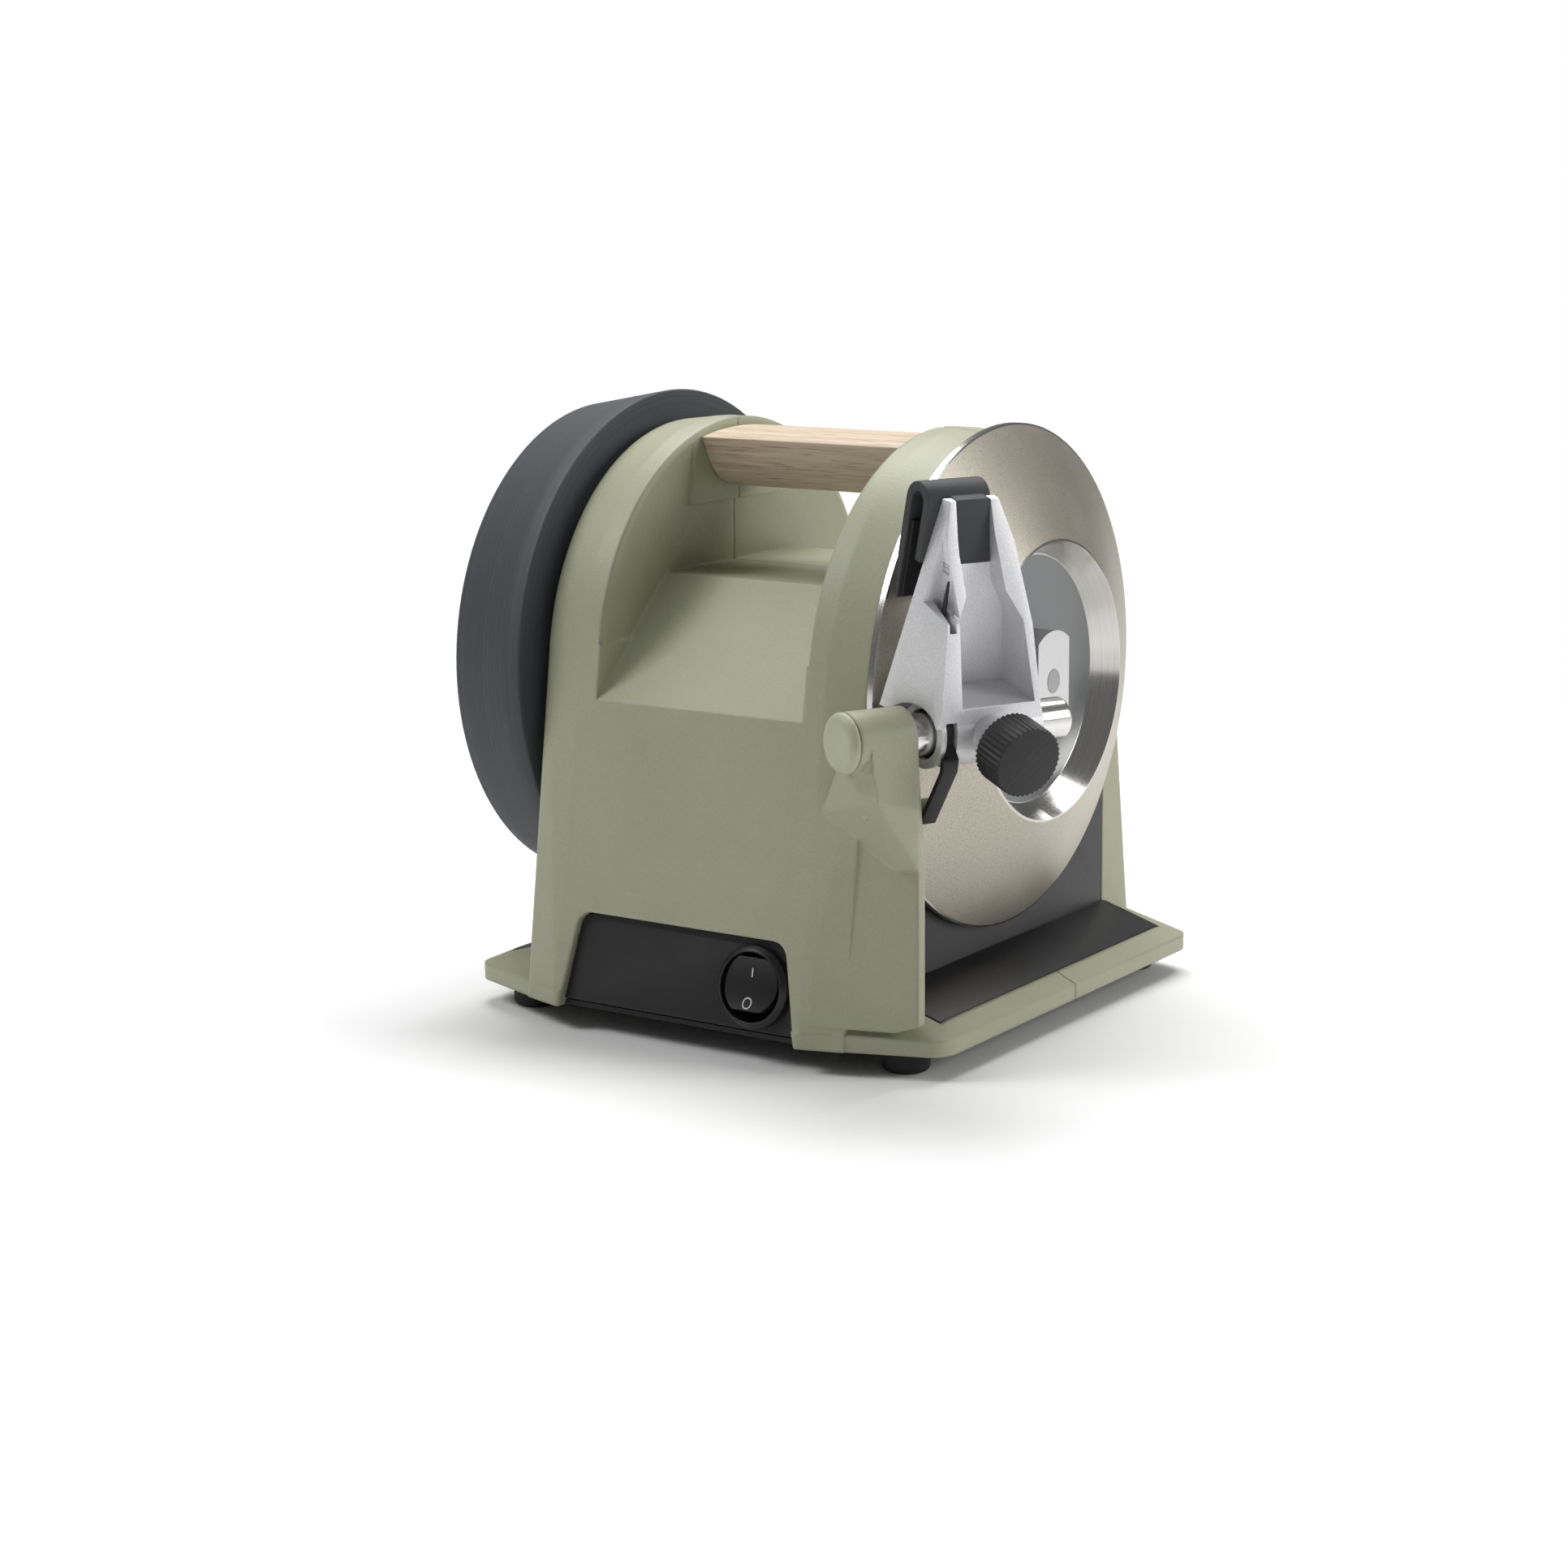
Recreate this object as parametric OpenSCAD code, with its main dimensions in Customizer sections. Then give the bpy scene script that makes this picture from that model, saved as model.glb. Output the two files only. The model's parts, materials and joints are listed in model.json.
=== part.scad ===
// Bench knife sharpener with a conical diamond wheel on the right, a conical
// honing wheel on the left, a cast casing in two halves and a sliding knife guide.
// Millimetres. +X runs along the axle to the diamond wheel, +Y to the back, +Z up.
// The origin lies on the table, midway between the two arches, under the axle.

/* [Casing] */
// Height of the wheel axle above the table
axle_h = 103; // [96:1:115]
// Radius of the arches that guard the wheels
arch_r = 73; // [70:0.5:74]
// Distance from the middle to the outer edge of an arch
arch_outer_x = 56.5; // [52:0.5:57]
// Distance from the middle to the crease between the front face and an arch's taper
arch_crease_x = 43.6; // [41:0.2:46]
// Distance from the middle to the inner crest of an arch
arch_crest_x = 36.4; // [34:0.2:37]
// How much smaller the arch is at its outer edge
arch_taper = 1.6; // [0.5:0.1:3]
// Slope of the front and rear faces from upright, degrees
wall_slope = 9; // [5:0.5:12]
// Thickness of the cast walls
wall = 3.5; // [2.5:0.5:5]
// Gap of the parting line between the two halves
parting = 0.3; // [0.2:0.1:0.6]
// Half depth of the flat ridge between the arches
ridge_y = 36; // [30:1:42]
// Height of the ridge above the axle
ridge_rise = 28.5; // [24:0.5:34]
// Drop of the lower edge of the slanted face below the axle
brow_drop = 4.6; // [2:0.2:10]
// How far the dished inner face of an arch lies behind its crest
dish_depth = 2; // [1:0.5:3]
// Radius of the flat floor of that dish
dish_floor_r = 46; // [40:1:52]

/* [Base] */
// Clear height of the feet below the casing
foot_h = 7.3; // [5:0.1:10]
// Radius of a rubber foot
foot_r = 7; // [5:0.5:9]
// Place of the feet from the middle, along the axle
foot_x = 66.7; // [60:0.1:70]
// Place of the feet from the middle, front to back
foot_y = 68; // [60:0.5:70]
// Half width of the base
base_x = 84; // [80:1:90]
// Half depth of the base at its side edges
base_side_y = 77; // [74:1:80]
// Corner radius of the base
base_corner_r = 8; // [5:1:12]
// Height of the upright edge of the base
base_edge_h = 4.7; // [3:0.1:7]
// Rise of the sloped border round the trays
base_rise = 3.1; // [1:0.1:5]
// Width of that border
base_border = 6.5; // [5:0.5:9]
// Thickness of the bottom plate
plate_t = 1.5; // [1:0.1:2.5]

/* [Panels] */
// Half width of the front opening at its top
panel_top_x = 37.5; // [34:0.5:38]
// Half width of the front opening at its foot
panel_foot_x = 43; // [39:0.5:44]
// Height of the front opening along the slope
panel_h = 29.5; // [26:0.5:34]
// Corner radius of the front opening
panel_corner_r = 5; // [3:0.5:8]
// Depth of the panel behind the casing's face
panel_recess = 2; // [1:0.5:3]
// Thickness of the moulded panels and side covers
panel_t = 2.5; // [2:0.5:4]
// Play round a panel in its opening
panel_play = 0.4; // [0.3:0.1:0.8]
// Half depth of the side openings and trays
side_open_y = 67; // [60:0.5:68]

/* [Switch] */
// Radius of the switch's round bezel
bezel_r = 12; // [11:0.5:13]
// Radius of the rocker
rocker_r = 9; // [7:0.5:10]
// Height of the bezel above the panel
bezel_h = 3.4; // [2:0.2:5]
// Place of the switch from the middle
switch_x = 26.5; // [20:0.5:27]
// Place of the switch up the slope
switch_w = 15.5; // [14:0.5:17]

/* [Handle] */
// Width of the oak handle
handle_w = 40; // [30:1:44]
// Depth of the handle below its edges
handle_d = 16.6; // [14:0.2:20]
// Height of the handle's edges above the axle
handle_rise = 68.4; // [66:0.2:70]
// Crown of the handle's top
handle_crown = 1.9; // [1:0.1:3]
// Radius of a handle screw
handle_screw_r = 2.5; // [2:0.25:3]

/* [Diamond wheel] */
// Radius of the diamond wheel
diamond_r = 75; // [72:0.5:76]
// Angle of the grinding face from the wheel's plane, degrees
cone_angle = 25; // [20:0.5:28]
// Place of the rim of the grinding face along the axle
face_x = 60; // [59:0.1:62]
// Thickness of the polished rim
rim_t = 1.8; // [1:0.1:2]
// Radius of the recess at the face
recess_r = 41.2; // [36:0.2:46]
// Radius of the recess floor
floor_r = 37; // [30:0.5:39]
// Depth of the recess floor behind its edge
recess_depth = 8; // [6:0.5:10]
// Thickness of the recess floor
floor_t = 4; // [3:0.5:5]

/* [Honing wheel] */
// Radius of the honing wheel at its inner edge
honing_r = 80.3; // [76:0.1:82]
// Radius of the honing wheel at its outer edge
honing_small_r = 75; // [72:0.1:78]
// Width of the honing wheel
honing_w = 28.8; // [24:0.2:32]
// Place of its inner edge from the middle
honing_x = 60.9; // [59.5:0.1:62]
// Radius of the hub that carries the composite ring
hub_r = 46; // [38:1:52]

/* [Drive] */
// Radius of the wheel shaft
shaft_r = 6; // [5:0.5:7]
// Radius of the drive wheel inside the left arch
drive_r = 57; // [52:1:58]
// Width of the drive wheel
drive_w = 8; // [6:0.5:8.5]
// Radius of the motor's friction roller
roller_r = 5.3; // [4.5:0.1:6]
// Place of the motor's axis behind the wheel axle
motor_y = 30; // [26:1:34]
// Outer size of the square stator
stator_w = 60; // [50:1:62]
// Length of the stator
stator_l = 34; // [26:1:36]
// Radius of the rotor
rotor_r = 17; // [14:0.5:19]
// Outer radius of the wheel shaft's bearings
bearing_r = 14; // [12:0.5:15]
// Width of a bearing
bearing_w = 9; // [7:0.5:10]

/* [Guide bar] */
// Place of the front end of the post's barrel along the axle
post_x = 63.7; // [63:0.1:66]
// Place of the front end of the post's barrel ahead of the axle
post_y = 94.5; // [94:0.1:97]
// Drop of the bar below the axle
bar_drop = 4.5; // [3:0.5:6]
// Radius of the steel bar
bar_r = 6; // [5:0.5:6.5]
// Distance from the front end of the barrel to the end of the bar
bar_end = 72.6; // [70:0.1:80]
// Radius of the barrel on the post
barrel_r = 8.6; // [8:0.2:9]
// Length of the barrel
barrel_l = 18.2; // [17:0.1:18.6]
// Radius of the lower rail that the guide's foot bears on
rail_r = 2; // [1.6:0.1:2.2]
// Drop of the lower rail below the bar
rail_drop = 21; // [20.5:0.5:22]

/* [Knife guide] */
// Lean of the guide at rest, which is the sharpening angle, degrees
lean = 15; // [14:0.5:16]
// Front end of the guide along the bar
guide_u = 25.2; // [24.8:0.1:26]
// Width of the guide at its foot
guide_w = 34.3; // [32:0.1:36]
// Height of the guide above the bar
guide_h = 65; // [60:0.5:68]
// Distance of the guide's back face behind the bar
guide_back = 11.1; // [10.8:0.1:11.3]
// Thickness of the guide's back wall
guide_wall = 2.4; // [2:0.1:3]
// Radius of the guide's boss round the bar
boss_r = 9.8; // [9:0.1:10]
// Thickness of the rubber strap
strap_t = 2.8; // [2.4:0.1:3]
// Clear gap for the blade inside the strap
blade_gap = 4.2; // [3.5:0.1:4.4]
// Radius of the ribbed knob
knob_r = 10.4; // [9:0.1:11]
// Length of the ribbed knob
knob_l = 11; // [9:0.5:13]
// Number of ribs round the knob
knob_ribs = 40; // [24:2:48]

/* [Hidden] */

$fn = 96;
// Clearance of a running fit, and the overrun of cuts
run_fit = 0.05;
over = 1;
seat = 0.3;
web_t = 3;
flange_t = 3;
sliver = 0.01;

// Faces of the casing
foot_z = foot_h;
rim_z = foot_h + base_edge_h;
tray_z = rim_z + base_rise;
function face_y(z) = arch_r / cos(wall_slope) + (axle_h - z) * tan(wall_slope);
tangent_z = axle_h + arch_r * sin(wall_slope);
tangent_y = arch_r * cos(wall_slope);
dish_x = arch_crest_x + dish_depth;
web_x = dish_x + web_t;
flange_x = arch_outer_x - flange_t;
facet_slope = (face_y(foot_z) - base_side_y) / (base_x - arch_crease_x);
edge_y = face_y(foot_z) - (arch_outer_x - arch_crease_x) * facet_slope;
brow_z = axle_h - brow_drop;
ridge_z = axle_h + ridge_rise;
side_r = side_open_y;

module along_x() { rotate([0, 90, 0]) children(); }
module on_axle() { translate([0, 0, axle_h]) along_x() children(); }
module mirror_x(side) { mirror([side < 0 ? 1 : 0, 0, 0]) children(); }
// A section drawn as [y, z], stretched from x1 to x2
module yz_prism(x1, x2) { translate([x1, 0, 0]) rotate([90, 0, 90]) linear_extrude(x2 - x1) children(); }
// A section drawn as [x, z], stretched from y1 to y2
module xz_prism(y1, y2) { translate([0, y2, 0]) rotate([90, 0, 0]) linear_extrude(y2 - y1) children(); }
module ring(r_out, r_in, h) {
  difference() {
    cylinder(r = r_out, h = h);
    translate([0, 0, -over]) cylinder(r = r_in, h = h + 2 * over);
  }
}

// Outline of the base seen from above, drawn in by a margin
module base_outline(inset) {
  x = base_x - inset - base_corner_r;
  y = base_side_y - inset - base_corner_r;
  hull() {
    for (i = [-1, 1], j = [-1, 1]) translate([i * x, j * y]) circle(base_corner_r, $fn = 32);
    for (i = [-1, 1]) translate([i * (arch_crease_x - base_corner_r), 0])
      square([2 * base_corner_r, 2 * (face_y(foot_z) - inset)], center = true);
  }
}

// The tapering side of a leg, from the crease out to the arch's outer edge
step = 0.02;
module leg_block() {
  hull() {
    yz_prism(arch_crease_x - wall, arch_crease_x - wall + step) leg_section(-1);
    yz_prism(arch_crease_x, arch_crease_x + step) leg_section(0);
    yz_prism(arch_outer_x - step, arch_outer_x) leg_section(1);
  }
}
module leg_section(place) {
  low_y = place > 0 ? edge_y : face_y(foot_z) - (place < 0 ? 1 : step);
  top_y = place > 0 ? tangent_y - arch_taper : tangent_y - (place < 0 ? 1 : step);
  polygon([[-low_y, foot_z], [low_y, foot_z], [top_y, tangent_z], [-top_y, tangent_z]]);
}

module arch_block() {
  on_axle() rotate_extrude() polygon([[0, dish_x], [dish_floor_r, dish_x], [arch_r - 0.5 * wall, arch_crest_x],
    [arch_r, arch_crest_x + 0.2 * wall], [arch_r, arch_crease_x], [arch_r - arch_taper, arch_outer_x], [0, arch_outer_x]]);
}

module casing_outside() {
  for (side = [-1, 1]) mirror_x(side) { leg_block(); arch_block(); }
  // Both upright faces, in one piece from crease to crease, with the saddle between the arches
  difference() {
    yz_prism(-arch_crease_x, arch_crease_x) polygon([[-face_y(foot_z), foot_z], [face_y(foot_z), foot_z],
      [tangent_y, tangent_z], [-tangent_y, tangent_z]]);
    yz_prism(-arch_crest_x, arch_crest_x) {
      polygon([[ridge_y, ridge_z], [face_y(brow_z), brow_z], [2 * ridge_y + tangent_y, brow_z], [2 * ridge_y, ridge_z]]);
      polygon([[-ridge_y, ridge_z], [-face_y(brow_z), brow_z], [-2 * ridge_y - tangent_y, brow_z], [-2 * ridge_y, ridge_z]]);
    }
  }
  yz_prism(-dish_x, dish_x) polygon([[-face_y(brow_z) + wall, brow_z - wall], [face_y(brow_z) - wall, brow_z - wall],
    [face_y(brow_z), brow_z], [ridge_y, ridge_z], [-ridge_y, ridge_z], [-face_y(brow_z), brow_z]]);
  hull() {
    translate([0, 0, foot_z]) linear_extrude(base_edge_h) base_outline(0);
    translate([0, 0, foot_z]) linear_extrude(tray_z - foot_z) base_outline(base_border);
    translate([0, 0, foot_z + (tray_z + tray_rise - foot_z) / 2]) cube([2 * (arch_outer_x + tray_inner), 2 * (side_open_y + tray_lip),
      tray_z + tray_rise - foot_z], center = true);
  }
}

// The hollow inside the casing
module casing_inside() {
  for (side = [-1, 1]) mirror_x(side) {
    on_axle() translate([0, 0, web_x]) cylinder(r = arch_r - wall - arch_taper, h = flange_x - web_x);
    yz_prism(web_x, flange_x) polygon([[-edge_y + wall, foot_z - over], [edge_y - wall, foot_z - over],
      [tangent_y - arch_taper - wall, axle_h], [-tangent_y + arch_taper + wall, axle_h]]);
    // Side opening for the cover and its tray
    on_axle() translate([0, 0, flange_x - over]) cylinder(r = side_r, h = base_x);
    yz_prism(flange_x - over, base_x - base_border) polygon([[-side_open_y, foot_z - over],
      [side_open_y, foot_z - over], [side_open_y, axle_h], [-side_open_y, axle_h]]);
  }
  // Middle hollow under the saddle, and under the webs
  yz_prism(-dish_x, dish_x) polygon([[-face_y(foot_z) + wall, foot_z - over], [face_y(foot_z) - wall, foot_z - over],
    [face_y(brow_z) - wall, brow_z - wall], [ridge_y - wall, ridge_z - wall], [-ridge_y + wall, ridge_z - wall],
    [-face_y(brow_z) + wall, brow_z - wall]]);
  yz_prism(-web_x - over, web_x + over) polygon([[-edge_y + wall, foot_z - over], [edge_y - wall, foot_z - over],
    [face_y(web_foot_z) - 2 * wall, web_foot_z], [-face_y(web_foot_z) + 2 * wall, web_foot_z]]);
}
web_foot_z = axle_h - bearing_r - 2 * wall;

// Opening in the sloped front or rear face; z runs up the slope, y out of the face
module on_face(side) {
  rotate([0, 0, side < 0 ? 0 : 180]) translate([0, -face_y(foot_z), foot_z]) rotate([-wall_slope, 0, 0]) children();
}
// Half outline from the rounded top corner down to the foot, as [across, up]
function panel_side(play, foot) =
  let (lean_a = atan((panel_foot_x - panel_top_x) / panel_h), r = panel_corner_r,
    cx = panel_top_x - play - r, cy = panel_h - play - r,
    run = (cy + r * sin(lean_a) - foot) / cos(lean_a))
  concat([for (k = [0:6]) let (a = 90 - (90 - lean_a) * k / 6) [cx + r * cos(a), cy + r * sin(a)]],
    [[cx + r * cos(lean_a) + run * sin(lean_a), foot]]);
module panel_shape(play) {
  half = panel_side(play, play > 0 ? plate_t + 3 * play : -over);
  polygon(concat(half, [for (i = [len(half) - 1:-1:0]) [-half[i][0], half[i][1]]]));
}

// Bearing seats on the webs, bored after the hollow is cut
bearing_lip = 3.5;
shaft_play = 2;
module bearing_bosses() {
  for (side = [-1, 1]) mirror_x(side) on_axle() translate([0, 0, dish_x - bearing_w - bearing_lip])
    cylinder(r = bearing_r + wall, h = bearing_w + bearing_lip + web_t);
}
module bearing_bores() {
  for (side = [-1, 1]) mirror_x(side) {
    on_axle() translate([0, 0, dish_x - bearing_w]) cylinder(r = bearing_r + run_fit, h = bearing_w);
    on_axle() cylinder(r = sleeve_r + shaft_play, h = arch_outer_x);
  }
}
sleeve_r = 8;

// Bosses that the casing screws join across the parting line
screw_r = 2;
screw_head_r = 3.6;
screw_head_h = 2.4;
screw_boss_r = 4.6;
boss_sink = 1;
screw_boss_l = 16;
ridge_boss_x = 20;
casing_screw_places = [for (i = [-1, 1]) each [
  [i * (flange_x - screw_boss_r), axle_h + arch_r - arch_taper - wall - screw_boss_r + boss_sink],
  [i * ridge_boss_x, ridge_z - wall - screw_boss_r + boss_sink]]];

module casing_bosses() {
  for (p = casing_screw_places) translate([p[0], 0, p[1]]) rotate([90, 0, 0])
    cylinder(r = screw_boss_r, h = 2 * screw_boss_l, center = true);
}
module casing_screw_holes() {
  for (p = casing_screw_places) translate([p[0], 0, p[1]]) rotate([90, 0, 0]) {
    cylinder(r = screw_r + run_fit, h = 2 * screw_boss_l + 2 * over, center = true);
    translate([0, 0, screw_boss_l - screw_head_h]) cylinder(r = screw_head_r + run_fit, h = screw_head_h + over);
  }
}

// Flat pads on the arches' inner faces, where the handle's ends bear
pad_margin = 4;
module handle_pads() {
  for (side = [-1, 1]) mirror_x(side) intersection() {
    translate([arch_crest_x, -handle_w / 2 - pad_margin, axle_h + handle_rise - handle_d - pad_margin])
      cube([web_t, handle_w + 2 * pad_margin, handle_d + 2 * pad_margin]);
    on_axle() cylinder(r = arch_r - 0.5 * wall, h = arch_outer_x);
  }
}
notch = 2.2;
module parting_notch() {
  top = axle_h + arch_r;
  yz_prism(-arch_outer_x - over, arch_outer_x + over) polygon([[-notch, top + over], [notch, top + over], [0, top - notch]]);
}
// Bosses over the feet for the foot screws
foot_boss_r = 5;
foot_boss_h = 6.6;
module foot_bosses() {
  foot_places() translate([0, 0, plate_t + run_fit]) difference() {
    cylinder(r = foot_boss_r, h = foot_boss_h - plate_t - run_fit);
    translate([0, 0, -over]) cylinder(r = foot_screw_r + run_fit, h = foot_boss_h + over);
  }
}

module casing_shell(with_post) {
  difference() {
    union() {
      difference() {
        union() {
          casing_outside();
          if (with_post) guide_post();
        }
        casing_inside();
        if (with_post) post_room();
      }
      bearing_bosses();
      casing_bosses();
      handle_pads();
    }
    bearing_bores();
    casing_screw_holes();
    handle_screw_holes();
    parting_notch();
    plate_pocket();
    for (side = [-1, 1]) on_face(side) xz_prism(-over, 2 * wall) panel_shape(0);
    foot_places() cylinder(r = foot_screw_r + run_fit, h = foot_boss_h);
  }
  foot_bosses();
}
plate_inset = 4;
tray_lip = 1.5;
// Pocket for the bottom plate in the casing's underside
module plate_pocket() {
  rim = plate_inset - panel_play;
  x = base_x - rim;
  y = base_side_y - rim;
  y_mid = face_y(foot_z) - rim;
  translate([0, 0, foot_z - over]) linear_extrude(plate_t + over + run_fit) polygon([[-x, -y], [-arch_crease_x, -y_mid],
    [arch_crease_x, -y_mid], [x, -y], [x, y], [arch_crease_x, y_mid], [-arch_crease_x, y_mid], [-x, y]]);
}

module front_half() { translate([-base_x - over, -2 * base_x - parting / 2, 0]) cube([2 * base_x + 2 * over, 2 * base_x, 3 * base_x]); }
module rear_half() { translate([-base_x - over, parting / 2, 0]) cube([2 * base_x + 2 * over, 2 * base_x, 3 * base_x]); }

// The guide's own frame: x away from the wheel, y along the bar, z up
bar_z = axle_h - bar_drop;
module guide_frame() { translate([post_x, -post_y, bar_z]) rotate([0, 0, -cone_angle]) children(); }
module along_bar(u) { translate([0, u, 0]) rotate([-90, 0, 0]) children(); }
module lean_frame() { guide_frame() rotate([0, lean, 0]) children(); }

// Post with its barrel for the bar, cast with the front half
neck_u = 3.2;
neck_drop = 12.5;
neck_rise = 8.3;
neck_side_drop = 16;
neck_back_drop = 19;
neck_rake = 1.8;
neck_t = 1;
post_inner_x = 46.4;
post_bend_z = 75;
post_rib_z = 60.5;
rib_x = 77;
rib_top_x = 73.4;
rib_w = 6.4;
rib_deep = 3.4;
rib_proud = 0.5;
skin_deep = 2.8;
rib_foot = 2;
rail_n = -2.6;
rail_l = 17.4;
wheel_room = 2;
function facet_y(x, z) = face_y(z) - (x - arch_crease_x) * facet_slope;
// Small blocks on the sloped facet, given as [x, z, depth], whose corners are the points that a hull joins
module post_corner(points) {
  for (p = points) translate([p[0] - neck_t, -facet_y(p[0], p[1]) - rib_proud, p[1] - neck_t]) cube([neck_t, p[2], neck_t]);
}
// Small blocks in the guide's frame, given as [out, along, up] with the sign of the corner that is meant
module neck_corner(points) {
  guide_frame() for (p = points) translate([p[0] - (p[0] > 0 ? neck_t : 0), p[1] - (p[1] > barrel_l / 2 ? neck_t : 0), p[2]])
    cube([neck_t, neck_t, neck_t]);
}
post_top = [[post_inner_x, post_bend_z, skin_deep], [rib_top_x - rib_w, post_rib_z, rib_deep], [rib_top_x, post_rib_z, rib_deep]];
post_foot = [[post_inner_x, tray_z, skin_deep], [rib_x - rib_w, tray_z, rib_deep], [rib_x, tray_z + rib_foot, rib_deep]];
module guide_post() {
  n = barrel_r - step;
  back = barrel_l - step;
  guide_frame() {
    along_bar(0) cylinder(r = barrel_r, h = barrel_l);
    translate([0, back, 0]) rotate([90, 0, 0]) linear_extrude(back - neck_u)
      polygon([[-n, 0], [n, 0], [n, -neck_rise], [-n, -neck_drop]]);
    translate([rail_n, barrel_l - 3 * wall, -rail_drop]) along_bar(0) cylinder(r = rail_r, h = rail_l + 2 * wall);
  }
  // Leaning part between the neck and the leg
  hull() {
    neck_corner([[-n + step, neck_u + step, -neck_rise], [n - step, neck_u + step, -neck_rise / 2],
      [n - step, back - step, -neck_rise / 2], [-n + step, back - step, -neck_rise],
      [-n + step, neck_u + step, -neck_drop], [-n + step, back - step, -neck_drop],
      [n - step, neck_u + neck_rake, -neck_side_drop], [n - step, back - step, -neck_back_drop]]);
    post_corner(post_top);
  }
  // Leg in line with the sloped facet, ending in a narrow rib above the base
  hull() {
    post_corner(post_top);
    post_corner(post_foot);
  }
}
// Room for the wheel beside the post
module post_room() {
  on_axle() rotate_extrude() polygon([[0, arch_outer_x], [diamond_r + wheel_room, arch_outer_x],
    [diamond_r + wheel_room, face_x + rim_t], [recess_r + wheel_room, face_end_x + wheel_room], [0, face_end_x + wheel_room]]);
}

module front_casing() {
  color("#92947c") difference() {
    intersection() { casing_shell(true); front_half(); }
    guide_frame() along_bar(neck_u) cylinder(r = bar_r + run_fit, h = bar_end);
  }
}

module rear_casing() {
  color("#92947c") intersection() { casing_shell(false); rear_half(); }
}

// Handle
handle_shares = [[1, 0], [0.93, 0.15], [0.88, 0.28], [0.76, 0.54], [0.55, 0.8], [0.27, 0.95], [0, 1]];
handle_x = arch_crest_x - run_fit;
module oak_handle() {
  half = handle_w / 2;
  top = axle_h + handle_rise;
  color("#c9ac88") difference() {
    yz_prism(-handle_x, handle_x) polygon(concat(
      [for (s = handle_shares) [half * s[0], top - handle_d * s[1]]],
      [for (i = [len(handle_shares) - 2:-1:0]) [-half * handle_shares[i][0], top - handle_d * handle_shares[i][1]]],
      [for (t = [-0.8:0.2:0.8]) [half * t, top + handle_crown * (1 - t * t)]]));
    for (side = [-1, 1]) mirror_x(side) handle_axis() translate([0, 0, handle_x - handle_screw_l])
      cylinder(r = handle_screw_r + run_fit, h = handle_screw_l + over);
  }
}
handle_screw_l = 22;
handle_screw_gap = 14;
handle_head_h = 1.6;
module handle_axis() {
  for (j = [-1, 1]) translate([0, j * handle_screw_gap / 2, axle_h + handle_rise - handle_d / 2]) along_x() children();
}
module handle_screw_holes() {
  handle_axis() translate([0, 0, -web_x - over]) cylinder(r = handle_screw_r + run_fit, h = 2 * web_x + 2 * over);
}
module handle_screws() {
  color("#9a9ca0") for (side = [-1, 1]) mirror_x(side) handle_axis() {
    translate([0, 0, handle_x - handle_screw_l + seat]) cylinder(r = handle_screw_r, h = web_x - handle_x + handle_screw_l - seat);
    translate([0, 0, web_x]) cylinder(r = 1.8 * handle_screw_r, h = handle_head_h);
  }
}

module casing_screws() {
  color("#9a9ca0") for (p = casing_screw_places) translate([p[0], 0, p[1]]) rotate([90, 0, 0]) {
    translate([0, 0, -screw_boss_l + seat]) cylinder(r = screw_r, h = 2 * screw_boss_l - screw_head_h - seat);
    translate([0, 0, screw_boss_l - screw_head_h]) cylinder(r = screw_head_r, h = screw_head_h - seat);
  }
}

// Base
plate_z = foot_z;
foot_screw_r = 2;
foot_sink = 2.4;
foot_chamfer = 1;
vent_pitch = 5;
vent_w = 2;
vent_l = 30;
module foot_places() { for (i = [-1, 1], j = [-1, 1]) translate([i * foot_x, j * foot_y, plate_z]) children(); }
module bottom_plate() {
  color("#2b2c2d") difference() {
    translate([0, 0, plate_z]) linear_extrude(plate_t) base_outline(plate_inset);
    foot_places() translate([0, 0, -over]) cylinder(r = foot_screw_r + run_fit, h = plate_t + 2 * over);
    for (i = [-5:5]) translate([i * vent_pitch, 0, plate_z + plate_t / 2]) cube([vent_w, vent_l, plate_t + 2 * over], center = true);
  }
}
module rubber_feet() {
  color("#232323") for (i = [-1, 1], j = [-1, 1]) translate([i * foot_x, j * foot_y, 0]) difference() {
    rotate_extrude() polygon([[0, 0], [foot_r - foot_chamfer, 0], [foot_r, foot_chamfer], [foot_r, foot_h], [0, foot_h]]);
    translate([0, 0, -over]) cylinder(r = screw_head_r + run_fit, h = foot_sink + over);
    translate([0, 0, -over]) cylinder(r = foot_screw_r + run_fit, h = foot_h + 2 * over);
  }
}
module foot_screws() {
  color("#9a9ca0") for (i = [-1, 1], j = [-1, 1]) translate([i * foot_x, j * foot_y, 0]) {
    translate([0, 0, foot_sink]) cylinder(r = foot_screw_r, h = foot_h + foot_boss_h - foot_sink - seat);
    translate([0, 0, foot_sink - foot_screw_r / 2]) cylinder(r = screw_head_r, h = foot_screw_r / 2);
  }
}

// Panels in the sloped faces
module panel_plate(side) {
  on_face(side) xz_prism(panel_recess, panel_recess + panel_t) panel_shape(panel_play);
}
module on_switch() {
  on_face(-1) translate([switch_x, panel_recess, switch_w]) rotate([90, 0, 0]) children();
}
switch_body_r = 11.2;
switch_body_l = 14;
switch_cup = 7;
switch_play = 1.1;
switch_pin_r = 1.4;
switch_pin_s = 3;
tab_w = 5;
tab_t = 0.8;
tab_l = 5;
module front_panel() {
  color("#262626") difference() {
    panel_plate(-1);
    on_switch() translate([0, 0, -panel_t - over]) cylinder(r = switch_body_r + run_fit, h = panel_t + 2 * over);
  }
}
gland_x = -22;
gland_r = 7;
module on_gland() {
  on_face(1) translate([-gland_x, panel_recess, switch_w]) rotate([90, 0, 0]) children();
}
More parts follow.
